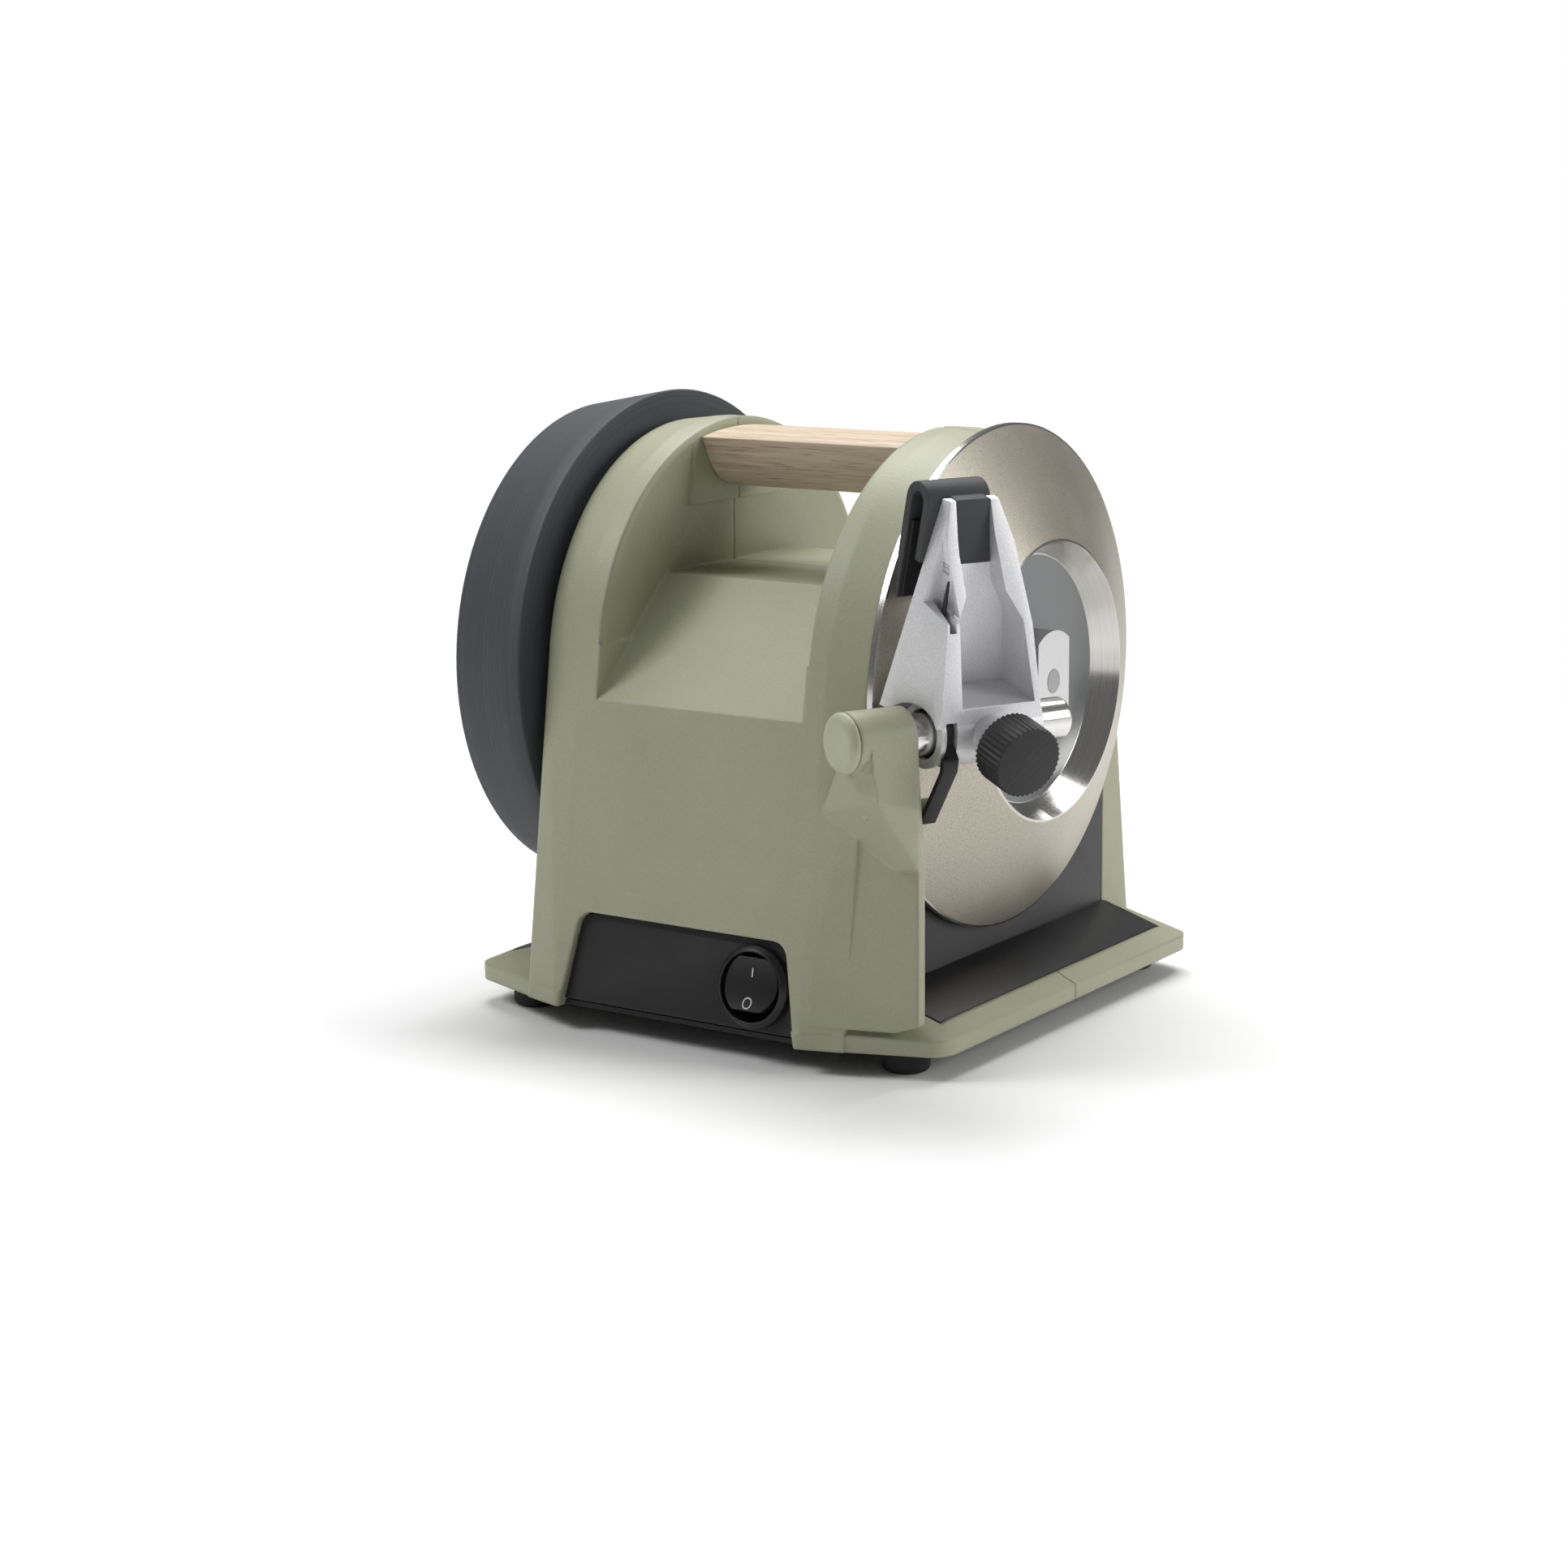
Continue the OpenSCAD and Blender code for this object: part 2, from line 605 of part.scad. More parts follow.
module rear_panel() {
  color("#262626") difference() {
    panel_plate(1);
    on_gland() translate([0, 0, -panel_t - over]) cylinder(r = gland_r + run_fit, h = panel_t + 2 * over);
  }
}
gland_flange_r = 9;
gland_bore_r = 3.6;
gland_nose = 2;
gland_tail = 10;
module cable_gland() {
  color("#1e1e1e") on_gland() rotate_extrude() polygon([[gland_bore_r, -gland_tail], [gland_r, -gland_tail], [gland_r, 0],
    [gland_flange_r, 0], [gland_flange_r, gland_nose / 2], [gland_r, gland_nose], [gland_bore_r, gland_nose]]);
}

// Switch, whose axis stands square to the front panel
module switch_body() {
  color("#1c1c1c") on_switch() {
    difference() {
      translate([0, 0, -switch_body_l]) cylinder(r = switch_body_r, h = switch_body_l);
      translate([0, 0, -switch_cup]) cylinder(r = rocker_r + switch_play, h = switch_cup + over);
      translate([0, 0, -switch_pin_s]) along_x() cylinder(r = switch_pin_r + run_fit, h = 2 * switch_body_r + over, center = true);
    }
    for (i = [-1:1]) translate([-tab_w / 2, i * tab_w - tab_t / 2, -switch_body_l - tab_l]) cube([tab_w, tab_t, tab_l]);
  }
}
module switch_bezel() {
  color("#1c1c1c") on_switch() rotate_extrude() polygon([[rocker_r + switch_play, 0], [bezel_r, 0], [bezel_r, 0.6 * bezel_h],
    [bezel_r - 0.4 * bezel_h, bezel_h], [rocker_r + switch_play, bezel_h]]);
}
rocker_tilt = 8;
rocker_sink = 4.5;
rocker_top = 4.4;
rocker_hollow_r = 24;
rocker_side_share = 0.86;
module switch_rocker() {
  color("#202020") on_switch() translate([0, 0, -switch_pin_s]) rotate([-rocker_tilt, 0, 0]) {
    difference() {
      intersection() {
        translate([0, 0, switch_pin_s - rocker_sink]) cylinder(r = rocker_r, h = rocker_sink + rocker_top);
        cube([2 * rocker_r, 2 * rocker_side_share * rocker_r, 4 * rocker_r], center = true);
      }
      translate([0, 0, switch_pin_s + rocker_top + rocker_hollow_r - 0.4 * rocker_sink]) along_x()
        cylinder(r = rocker_hollow_r, h = 4 * rocker_r, center = true);
    }
    along_x() cylinder(r = switch_pin_r, h = 2 * switch_body_r - switch_play, center = true);
  }
}

// Black side covers with their trays
cover_t = 2.2;
cover_play = 0.4;
tray_rise = 5.4;
tray_inner = 1.5;
tray_floor_t = 2.5;
module side_cover() {
  cover_x = arch_outer_x - cover_t;
  tray_x = base_x - base_border - cover_play;
  cover_y = side_open_y - cover_play;
  tray_in_z = tray_z + tray_rise;
  difference() {
    union() {
      on_axle() translate([0, 0, cover_x]) cylinder(r = side_r - cover_play, h = cover_t);
      yz_prism(cover_x, arch_outer_x) polygon([[-cover_y, tray_in_z - tray_floor_t], [cover_y, tray_in_z - tray_floor_t],
        [cover_y, axle_h], [-cover_y, axle_h]]);
      xz_prism(-cover_y, cover_y) polygon([[cover_x, tray_in_z], [arch_outer_x + tray_inner, tray_in_z], [tray_x, tray_z],
        [tray_x, tray_z - tray_floor_t], [arch_outer_x + tray_inner, tray_in_z - tray_floor_t], [cover_x, tray_in_z - tray_floor_t]]);
    }
    on_axle() translate([0, 0, cover_x - over]) cylinder(r = sleeve_r + shaft_play, h = cover_t + 2 * over);
  }
}
module left_side_cover() { color("#262626") mirror_x(-1) side_cover(); }
module right_side_cover() { color("#262626") side_cover(); }

// Motor, whose roller drives the tyred wheel in the left arch
roller_gap = 0.3;
motor_z = axle_h - sqrt(pow(drive_r + roller_r + roller_gap, 2) - pow(motor_y, 2));
stator_x = -24;
stator_end = stator_x + stator_l;
rotor_gap = 0.5;
bell_l = 17;
bell_wall = 2.5;
bell_flange_t = 3;
winding_l = 6;
winding_r = 25;
motor_bearing_r = 9;
motor_bearing_w = 7;
motor_shaft_r = 4;
bolt_r = 2;
bolt_in = 5;
fan_r = 24;
fan_w = 9;
fan_t = 1.6;
module on_motor() { translate([0, motor_y, motor_z]) along_x() children(); }
module bolt_places() { for (i = [-1, 1], j = [-1, 1]) translate([i * (stator_w / 2 - bolt_in), j * (stator_w / 2 - bolt_in), 0]) children(); }
module stator_core() {
  color("#6d6f73") on_motor() translate([0, 0, stator_x]) difference() {
    linear_extrude(stator_l) square(stator_w, center = true);
    translate([0, 0, -over]) cylinder(r = rotor_r + rotor_gap, h = stator_l + 2 * over);
    bolt_places() translate([0, 0, -over]) cylinder(r = bolt_r + run_fit, h = stator_l + 2 * over);
  }
}
module motor_windings() {
  color("#a8603a") on_motor() {
    translate([0, 0, stator_x - winding_l]) ring(winding_r, rotor_r + 2 * rotor_gap, winding_l);
    translate([0, 0, stator_end]) ring(winding_r, rotor_r + 2 * rotor_gap, winding_l);
  }
}
// A bell with its flange on the plane z = 0 and its bearing seat at the far end
module motor_bell() {
  difference() {
    union() {
      linear_extrude(bell_flange_t) square(stator_w, center = true);
      cylinder(r = winding_r + seat + bell_wall, h = bell_l);
    }
    translate([0, 0, -over]) cylinder(r = winding_r + seat, h = bell_l - bell_wall - motor_bearing_w + over);
    translate([0, 0, -over]) cylinder(r = motor_bearing_r + run_fit, h = bell_l - bell_wall + over);
    cylinder(r = motor_shaft_r + shaft_play, h = bell_l + over);
    bolt_places() translate([0, 0, -over]) cylinder(r = bolt_r + run_fit, h = bell_flange_t + 2 * over);
  }
}
module motor_left_bell() { color("#8f9194") on_motor() translate([0, 0, stator_x]) mirror([0, 0, 1]) motor_bell(); }
module motor_right_bell() { color("#8f9194") on_motor() translate([0, 0, stator_end]) motor_bell(); }
module motor_bearings() {
  color("#c4c6c8") on_motor() {
    translate([0, 0, stator_x - bell_l + bell_wall]) ring(motor_bearing_r, motor_shaft_r + run_fit, motor_bearing_w);
    translate([0, 0, stator_end + bell_l - bell_wall - motor_bearing_w]) ring(motor_bearing_r, motor_shaft_r + run_fit, motor_bearing_w);
  }
}
module motor_bolts() {
  color("#9a9ca0") on_motor() bolt_places() {
    translate([0, 0, stator_x - bell_flange_t]) cylinder(r = bolt_r, h = stator_l + 2 * bell_flange_t);
    translate([0, 0, stator_x - bell_flange_t - bolt_r]) cylinder(r = 1.8 * bolt_r, h = bolt_r);
    translate([0, 0, stator_end + bell_flange_t]) cylinder(r = 1.8 * bolt_r, h = bolt_r, $fn = 6);
  }
}
cradle_wall = 4;
module motor_cradle() {
  low = plate_z + plate_t;
  high = motor_z - stator_w / 2;
  color("#5b5d60") difference() {
    translate([stator_x, motor_y - stator_w / 2, low]) cube([stator_l, stator_w, high - low]);
    translate([stator_x + cradle_wall, motor_y - stator_w / 2 + cradle_wall, low - over])
      cube([stator_l - 2 * cradle_wall, stator_w - 2 * cradle_wall, high - low - cradle_wall / 2 + over]);
  }
}
rotor_over = 1;
module rotor_core() {
  color("#77797c") on_motor() translate([0, 0, stator_x - rotor_over])
    ring(rotor_r, motor_shaft_r + run_fit, stator_l + 2 * rotor_over);
}
roller_x = -(web_x + flange_x) / 2;
shaft_end_x = stator_end + bell_l + 2 * fan_w;
module motor_shaft() {
  color("#b9bbbe") on_motor() {
    translate([0, 0, roller_x]) cylinder(r = motor_shaft_r, h = shaft_end_x - roller_x);
    translate([0, 0, roller_x - drive_w / 2]) cylinder(r = roller_r, h = drive_w);
  }
}
blades = 9;
module cooling_fan() {
  color("#2f3133") on_motor() translate([0, 0, stator_end + bell_l + fan_w / 2]) difference() {
    union() {
      cylinder(r = fan_r, h = fan_t);
      cylinder(r = motor_shaft_r + 2 * fan_t, h = fan_w);
      for (k = [0:blades - 1]) rotate([0, 0, k * 360 / blades]) translate([motor_shaft_r + fan_t, -fan_t / 2, 0])
        cube([fan_r - motor_shaft_r - 2 * fan_t, fan_t, fan_w]);
    }
    translate([0, 0, -over]) cylinder(r = motor_shaft_r + run_fit, h = fan_w + 2 * over);
  }
}
capacitor_r = 10;
capacitor_l = 42;
capacitor_x = -38;
capacitor_y = -26;
block_w = [30, 12, 11];
block_x = -12;
block_y = -64;
block_hole_r = 2;
module run_capacitor() {
  color("#d8d8d2") translate([capacitor_x, capacitor_y, plate_z + plate_t + capacitor_r + run_fit]) along_x() {
    cylinder(r = capacitor_r, h = capacitor_l);
    translate([0, 0, capacitor_l]) cylinder(r = capacitor_r / 2, h = capacitor_r / 2);
  }
}
module terminal_block() {
  color("#e6e2d4") translate([block_x, block_y, plate_z + plate_t]) difference() {
    cube(block_w);
    for (i = [1, 3, 5]) translate([i * block_w[0] / 6, block_w[1] / 2, block_w[2] / 2]) cylinder(r = block_hole_r, h = block_w[2]);
  }
}

// Wheel shaft and what turns with it
thread_r = 5;
shaft_left = -(honing_x + honing_w - seat);
nut_h = 5.5;
hub_left = -(honing_x + honing_w - nut_h - seat);
face_end_x = face_x + (diamond_r - recess_r) * tan(cone_angle);
floor_x = face_end_x - recess_depth;
shaft_right = face_end_x + run_fit;
button_r = 3.6;
module wheel_shaft() {
  color("#b9bbbe") on_axle() {
    translate([0, 0, hub_left]) cylinder(r = shaft_r, h = floor_x - floor_t / 2 - hub_left);
    translate([0, 0, shaft_left]) cylinder(r = thread_r, h = -shaft_left + floor_x);
    translate([0, 0, floor_x - over]) cylinder(r = thread_r, h = recess_depth / 2);
    translate([0, 0, floor_x]) cylinder(r = button_r, h = shaft_right - floor_x);
  }
}
module shaft_bearings() {
  color("#c4c6c8") for (side = [-1, 1]) mirror_x(side) on_axle() translate([0, 0, dish_x - bearing_w])
    ring(bearing_r, shaft_r + run_fit, bearing_w);
}
hub_t = 6;
module spacer_sleeves() {
  color("#a9abae") on_axle() {
    translate([0, 0, dish_x + seat]) ring(sleeve_r, shaft_r + run_fit, face_x - rim_t - dish_x - seat);
    translate([0, 0, -honing_x]) ring(sleeve_r, shaft_r + run_fit, honing_x - flange_x);
  }
}
tyre_t = 5;
disc_t = 3;
drive_hub_r = 13;
module drive_wheel_disc() {
  color("#55575a") on_axle() translate([0, 0, roller_x]) difference() {
    rotate_extrude() polygon([[shaft_r + run_fit, roller_x + flange_x > 0 ? -(flange_x + roller_x) : 0], [drive_hub_r, -(flange_x + roller_x)],
      [drive_hub_r, -disc_t / 2], [drive_r - 2 * tyre_t, -disc_t / 2], [drive_r - 2 * tyre_t, -drive_w / 2],
      [drive_r - tyre_t, -drive_w / 2], [drive_r - tyre_t, drive_w / 2], [drive_r - 2 * tyre_t, drive_w / 2],
      [drive_r - 2 * tyre_t, disc_t / 2], [drive_hub_r, disc_t / 2], [drive_hub_r, drive_w / 2], [shaft_r + run_fit, drive_w / 2]]);
    for (k = [0:5]) rotate([0, 0, k * 60]) translate([(drive_r + drive_hub_r) / 2 - tyre_t, 0, -disc_t])
      cylinder(r = 2 * tyre_t, h = 2 * disc_t);
  }
}
module drive_wheel_tyre() {
  color("#1d1d1d") on_axle() translate([0, 0, roller_x - drive_w / 2]) ring(drive_r, drive_r - tyre_t + run_fit, drive_w);
}
cone_wall = 5.5;
wheel_hub_r = 14;
module diamond_wheel() {
  back = face_x - rim_t;
  floor_back = floor_x - floor_t;
  inner_low = diamond_r - (floor_back + cone_wall - face_x) / tan(cone_angle);
  inner_high = diamond_r - (back + cone_wall - face_x) / tan(cone_angle);
  color("#b9b6aa") on_axle() rotate_extrude() polygon([[shaft_r + run_fit, back], [wheel_hub_r, back], [wheel_hub_r, floor_back],
    [inner_low, floor_back], [inner_high, back], [diamond_r, back], [diamond_r, face_x], [recess_r, face_end_x],
    [floor_r, floor_x], [shaft_r + run_fit, floor_x]]);
}
nut_r = 15;
nut_flat = 9.2;
nut_gap = 0.1;
module diamond_lock_nut() {
  high = recess_depth - nut_gap - run_fit;
  color("#c9cacc") on_axle() translate([0, 0, floor_x + nut_gap]) difference() {
    intersection() {
      cylinder(r = nut_r, h = high);
      translate([-nut_r, -nut_flat, 0]) cube([2 * nut_r, 2 * nut_flat, high]);
    }
    translate([0, 0, -over]) cylinder(r = thread_r + run_fit, h = recess_depth / 2 + over);
    translate([0, 0, -over]) cylinder(r = button_r + run_fit, h = high + 2 * over);
  }
}
module honing_ring() {
  color("#4b4d50") on_axle() rotate_extrude() polygon([[hub_r + run_fit, -honing_x - honing_w], [honing_small_r, -honing_x - honing_w],
    [honing_r, -honing_x - honing_edge], [honing_r, -honing_x], [hub_r + run_fit, -honing_x]]);
}
honing_edge = 0.8;
honing_hub_r = 13;
module honing_hub() {
  mid = -honing_x - honing_w / 2;
  color("#8f9194") on_axle() rotate_extrude() polygon([[shaft_r + run_fit, hub_left], [honing_hub_r, hub_left],
    [honing_hub_r, mid - hub_t / 2], [hub_r - hub_t, mid - hub_t / 2], [hub_r - hub_t, -honing_x - honing_w + hub_t / 2],
    [hub_r, -honing_x - honing_w + hub_t / 2], [hub_r, -honing_x - hub_t / 2], [hub_r - hub_t, -honing_x - hub_t / 2],
    [hub_r - hub_t, mid + hub_t / 2], [honing_hub_r, mid + hub_t / 2], [honing_hub_r, -honing_x], [shaft_r + run_fit, -honing_x]]);
}
module honing_lock_nut() {
  color("#c9cacc") on_axle() translate([0, 0, hub_left - nut_h]) difference() {
    cylinder(r = nut_r, h = nut_h, $fn = 6);
    translate([0, 0, -over]) cylinder(r = thread_r + run_fit, h = nut_h + 2 * over);
  }
}

// Bar and knife guide
bar_chamfer = 1;
cap_l = 3;
module guide_bar() {
  color("#c8cacd") guide_frame() along_bar(0) rotate_extrude() polygon([[0, neck_u + run_fit], [bar_r, neck_u + run_fit],
    [bar_r, bar_end - bar_chamfer], [bar_r - bar_chamfer, bar_end], [0, bar_end]]);
}
module bar_cap() {
  color("#92947c") guide_frame() along_bar(0) rotate_extrude() polygon([[0, -cap_l], [0.8 * barrel_r, -cap_l],
    [barrel_r, -cap_l / 2], [barrel_r, 0], [0, 0]]);
}
bush_t = 1;
bush_bore = bar_r + run_fit;
slot_u = 26.8;
slot_w = 3.6;
lever_u = slot_u + 0.2;
lever_w = slot_w - 0.4;
guide_foot_w = 5;
floor_w = 1.4;
guide_end = guide_u + guide_w;
left_lean_share = 0.34;
// Side outline as [outward, up] shares of the guide's back distance and its height
side_out_shares = [0.74, 0.23, -0.54, -0.77];
side_up_shares = [0.145, 0.47, 0.85, 1];
function side_points(back, foot) = concat([[-back, foot], [guide_back * side_out_shares[0], foot]],
  [for (k = [0:3]) [guide_back * side_out_shares[k], guide_h * side_up_shares[k]]], [[-back, guide_h]]);
// Front outline as [along, up] shares of the guide's width and height
front_along_shares = [1, 0.955, 0.863, 0.71, 0.56];
front_up_shares = [0.07, 0.14, 0.49, 0.83, 1];
// Inner outline of the channel, the left leg from the floor up, then the right leg from the floor up
left_along_shares = [0.184, 0.155, 0.233, 0.178, 0.145];
left_up_shares = [0.157, 0.523, 0.615, 0.785, 1.05];
right_along_shares = [0.892, 0.776, 0.615, 0.525, 0.469];
right_up_shares = [0.157, 0.5, 0.626, 0.866, 1.05];
function channel_side(along, up, inset, side) = [for (k = [0:4]) [guide_u + guide_w * along[k] + side * inset, guide_h * up[k]]];
// Channel between the legs, drawn in by an inset, as a prism from back to front
module channel_prism(inset, v1, v2) {
  left = channel_side(left_along_shares, left_up_shares, inset, 1);
  right = channel_side(right_along_shares, right_up_shares, inset, -1);
  rotate([90, 0, 90]) translate([0, 0, v1]) linear_extrude(v2 - v1) polygon(concat(left, [for (k = [4:-1:0]) right[k]]));
}
function front_points(inset, foot) = concat([[guide_u - left_room, foot], [guide_end - inset, foot]],
  [for (k = [0:4]) [guide_u + guide_w * front_along_shares[k] - inset, max(foot, guide_h * front_up_shares[k])]],
  [[guide_u - left_room, guide_h]]);
left_room = 12;
// Solid between two outlines, the side one and the front one, cut off by the slanted left face
module guide_form() {
  intersection() {
    translate([0, guide_u + guide_w, 0]) rotate([90, 0, 0]) linear_extrude(guide_w + left_room) polygon(side_points(guide_back, guide_foot_w));
    rotate([90, 0, 90]) translate([0, 0, -2 * guide_back]) linear_extrude(4 * guide_back) polygon(front_points(0, guide_foot_w));
    rotate([-left_tilt, 0, left_turn]) translate([-2 * guide_h, left_d, -2 * guide_h]) cube([4 * guide_h, 2 * guide_h, 4 * guide_h]);
  }
}
left_tilt = 9.5;
left_turn = 19.4;
left_d = 18.7;
knob_u = 42;
knob_w = 1.6;
neck_r = 6.4;
neck_end = 16.4;
screw_bore_r = 3;
module on_knob() { lean_frame() translate([0, knob_u, knob_w]) along_x() children(); }
module guide_body() {
  color("#c3c4ca") {
    difference() {
      union() {
        lean_frame() {
          difference() {
            guide_form();
            channel_prism(0, guide_wall - guide_back, 2 * guide_back);
            // Notch in the back wall for the strap's tongue
            intersection() {
              channel_prism(0, -2 * guide_back, 2 * guide_back);
              translate([-2 * guide_back, 0, guide_h - strap_hook - strap_edge]) cube([4 * guide_back, 2 * guide_end, guide_h]);
            }
            guide_window();
          }
          along_bar(guide_u) cylinder(r = boss_r, h = guide_w);
        }
        on_knob() cylinder(r = neck_r, h = neck_end);
      }
      guide_frame() along_bar(0) cylinder(r = bush_bore + bush_t + run_fit, h = bar_end);
      guide_frame() along_bar(guide_u - left_room) cylinder(r = barrel_r + lever_play, h = left_room + step);
      guide_frame() along_bar(slot_u) cylinder(r = boss_r + lever_play, h = slot_w);
      // Way for the lever's arms through the boss and the floor
      lean_frame() translate([needle_back, needle_u - needle_play, 0])
        cube([needle_front - needle_back, needle_t + 2 * needle_play, window_foot]);
      on_knob() cylinder(r = screw_bore_r + run_fit, h = neck_end + over);
    }
  }
}
needle_back = -7.8;
needle_front = 2.5;
needle_u = 27.8;
needle_play = 0.5;
window_foot = 37;
lever_play = 0.6;
lever_hub_r = 8.4;
// Pocket for the scale: its outline on the left face as [outward, up], and its floor as [along, up]
window_outline = [[-7.9, 54.5], [-7.6, 36.6], [2.2, 33], [22, 25.8], [22, 54.5]];
window_floor = [[12, 24], [31.5, 24], [30.9, 33.5], [27.6, 52.8], [27, 56], [12, 56]];
module guide_window() {
  intersection() {
    translate([0, guide_end, 0]) rotate([90, 0, 0]) linear_extrude(guide_w + left_room) polygon(window_outline);
    rotate([90, 0, 90]) translate([0, 0, -2 * guide_back]) linear_extrude(4 * guide_back) polygon(window_floor);
  }
}
bush_u = slot_u + slot_w + 0.4;
module guide_bush() {
  color("#b08d4a") guide_frame() along_bar(bush_u) ring(bush_bore + bush_t, bush_bore, guide_end - bush_u);
}

// Rubber strap over the guide's top edge, and the pad on its back leg
strap_u = 23.5;
strap_w = 20.5;
strap_drop = 32;
strap_taper = 12;
strap_tip = 0.7;
strap_hook = 18.5;
strap_edge = 0.25;
strap_gap = 0.15;
strap_arc = 10;
pad_t = 1.4;
strap_in = guide_back + strap_gap + strap_t + blade_gap + pad_t;
module guide_strap() {
  back_out = strap_in + strap_t;
  front_out = guide_back + strap_gap;
  top = guide_h + strap_edge + strap_t;
  bow_r = (back_out - front_out) / 2;
  bow_v = -(back_out + front_out) / 2;
  bow_low = top - bow_r;
  bow_in = bow_r - strap_t;
  color("#323232") lean_frame() {
    translate([0, strap_u + strap_w, 0]) rotate([90, 0, 0]) linear_extrude(strap_w) polygon(concat(
      [[-back_out, guide_h - strap_drop + strap_taper], [-strap_in - strap_tip, guide_h - strap_drop],
      [-strap_in, guide_h - strap_drop]],
      [for (i = [0:strap_arc]) let (a = 180 - 180 * i / strap_arc) [bow_v + bow_in * cos(a), bow_low + bow_in * sin(a)]],
      [[-front_out - strap_t, guide_h - strap_hook], [-front_out, guide_h - strap_hook]],
      [for (i = [0:strap_arc]) let (a = 180 * i / strap_arc) [bow_v + bow_r * cos(a), bow_low + bow_r * sin(a)]]));
    // Tongue in the notch of the back wall
    intersection() {
      channel_prism(strap_edge, -front_out - strap_t / 2, guide_wall - guide_back + strap_edge);
      translate([-2 * guide_back, 0, guide_h - strap_hook]) cube([4 * guide_back, 2 * guide_end, strap_hook + strap_edge]);
    }
  }
}
pad_l = 22;
pad_edge = 1;
module guide_pad() {
  color("#1d1d1d") lean_frame() translate([pad_t - strap_in, strap_u + pad_edge, guide_h - strap_drop + pad_edge])
    mirror([1, 0, 0]) cube([pad_t, strap_w - 2 * pad_edge, pad_l]);
}

// Lever that rests on the lower rail and carries the pointer
// Outer edge of the lever as [outward, up] shares of its hub's radius, from the slot down to the rail
lever_points_shares = [[1.29, -0.7], [1.21, -1.14], [-0.11, -3.1]];
lever_inner_shares = [[-0.27, -3], [1, -1.1], [1.06, -0.65]];
needle_t = 1.2;
needle_w = 1.8;
needle_tip = 44;
needle_foot_v = -0.6;
needle_tip_v = -3.4;
module guide_lever() {
  color("#252525") guide_frame() {
    along_bar(lever_u) ring(lever_hub_r, bush_bore, lever_w);
    // Arm out of the hub, then down in front of the rail
    translate([0, lever_u + lever_w, 0]) rotate([90, 0, 0]) linear_extrude(lever_w) lever_arm();
    translate([0, lever_u + lever_w, 0]) rotate([90, 0, 0]) linear_extrude(foot_w) lever_foot();
    rotate([0, lean, 0]) translate([0, needle_u + needle_t, 0]) rotate([90, 0, 0]) linear_extrude(needle_t)
      polygon([[needle_foot_v - needle_w, bush_bore + bush_t], [needle_foot_v + needle_w, bush_bore + bush_t],
        [needle_tip_v + needle_w / 2, 0.7 * needle_tip], [needle_tip_v, needle_tip], [needle_tip_v - needle_w / 2, 0.7 * needle_tip]]);
  }
}
foot_w = 5;
module lever_arm() {
  polygon([[bush_bore + 0.5 * bush_t, 0], lever_hub_r * lever_points_shares[0], lever_hub_r * lever_points_shares[1],
    lever_hub_r * lever_inner_shares[1], [bush_bore, -lever_hub_r / 2]]);
}
module lever_foot() {
  polygon([for (s = concat(lever_points_shares, lever_inner_shares)) lever_hub_r * s]);
}

// Ribbed knob on its screw
rib_share = 0.06;
knob_gap = 0.2;
module angle_knob() {
  color("#26272a") on_knob() translate([0, 0, neck_end + knob_gap]) difference() {
    linear_extrude(knob_l) polygon([for (k = [0:2 * knob_ribs - 1]) let(a = k * 180 / knob_ribs)
      knob_r * (1 - rib_share * (k % 2)) * [cos(a), sin(a)]]);
    translate([0, 0, -over]) cylinder(r = screw_bore_r + run_fit, h = 0.8 * knob_l + over);
  }
}
module angle_screw() {
  color("#9a9ca0") on_knob() translate([0, 0, bush_bore + bush_t + 2 * seat]) cylinder(r = screw_bore_r, h = neck_end + knob_gap + 0.7 * knob_l - bush_bore - bush_t - 2 * seat);
}

front_casing();
rear_casing();
oak_handle();
handle_screws();
casing_screws();
bottom_plate();
rubber_feet();
foot_screws();
front_panel();
rear_panel();
cable_gland();
left_side_cover();
right_side_cover();
switch_body();
switch_bezel();
switch_rocker();
stator_core();
motor_windings();
motor_left_bell();
motor_right_bell();
motor_bolts();
motor_cradle();
motor_bearings();
rotor_core();
motor_shaft();
cooling_fan();
run_capacitor();
terminal_block();
wheel_shaft();
shaft_bearings();
spacer_sleeves();
drive_wheel_disc();
drive_wheel_tyre();
diamond_wheel();
diamond_lock_nut();
honing_ring();
honing_hub();
honing_lock_nut();
guide_bar();
bar_cap();
guide_body();
guide_bush();
guide_strap();
guide_pad();
guide_lever();
angle_knob();
angle_screw();
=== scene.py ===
# %% [markdown]
# # A bench knife sharpener
# The machine is a cast casing in sage green enamel that carries a diamond wheel, a honing wheel and an oak
# handle. A cast knife guide slides on a steel bar in front of the diamond wheel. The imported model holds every
# solid at its real size, so this lesson loads it as a fixed frame, then gives each part its finish and its
# soft edges.
# %% Load the frame
import json
import math
import bpy
from mathutils import Matrix, Vector
from mathutils.bvhtree import BVHTree


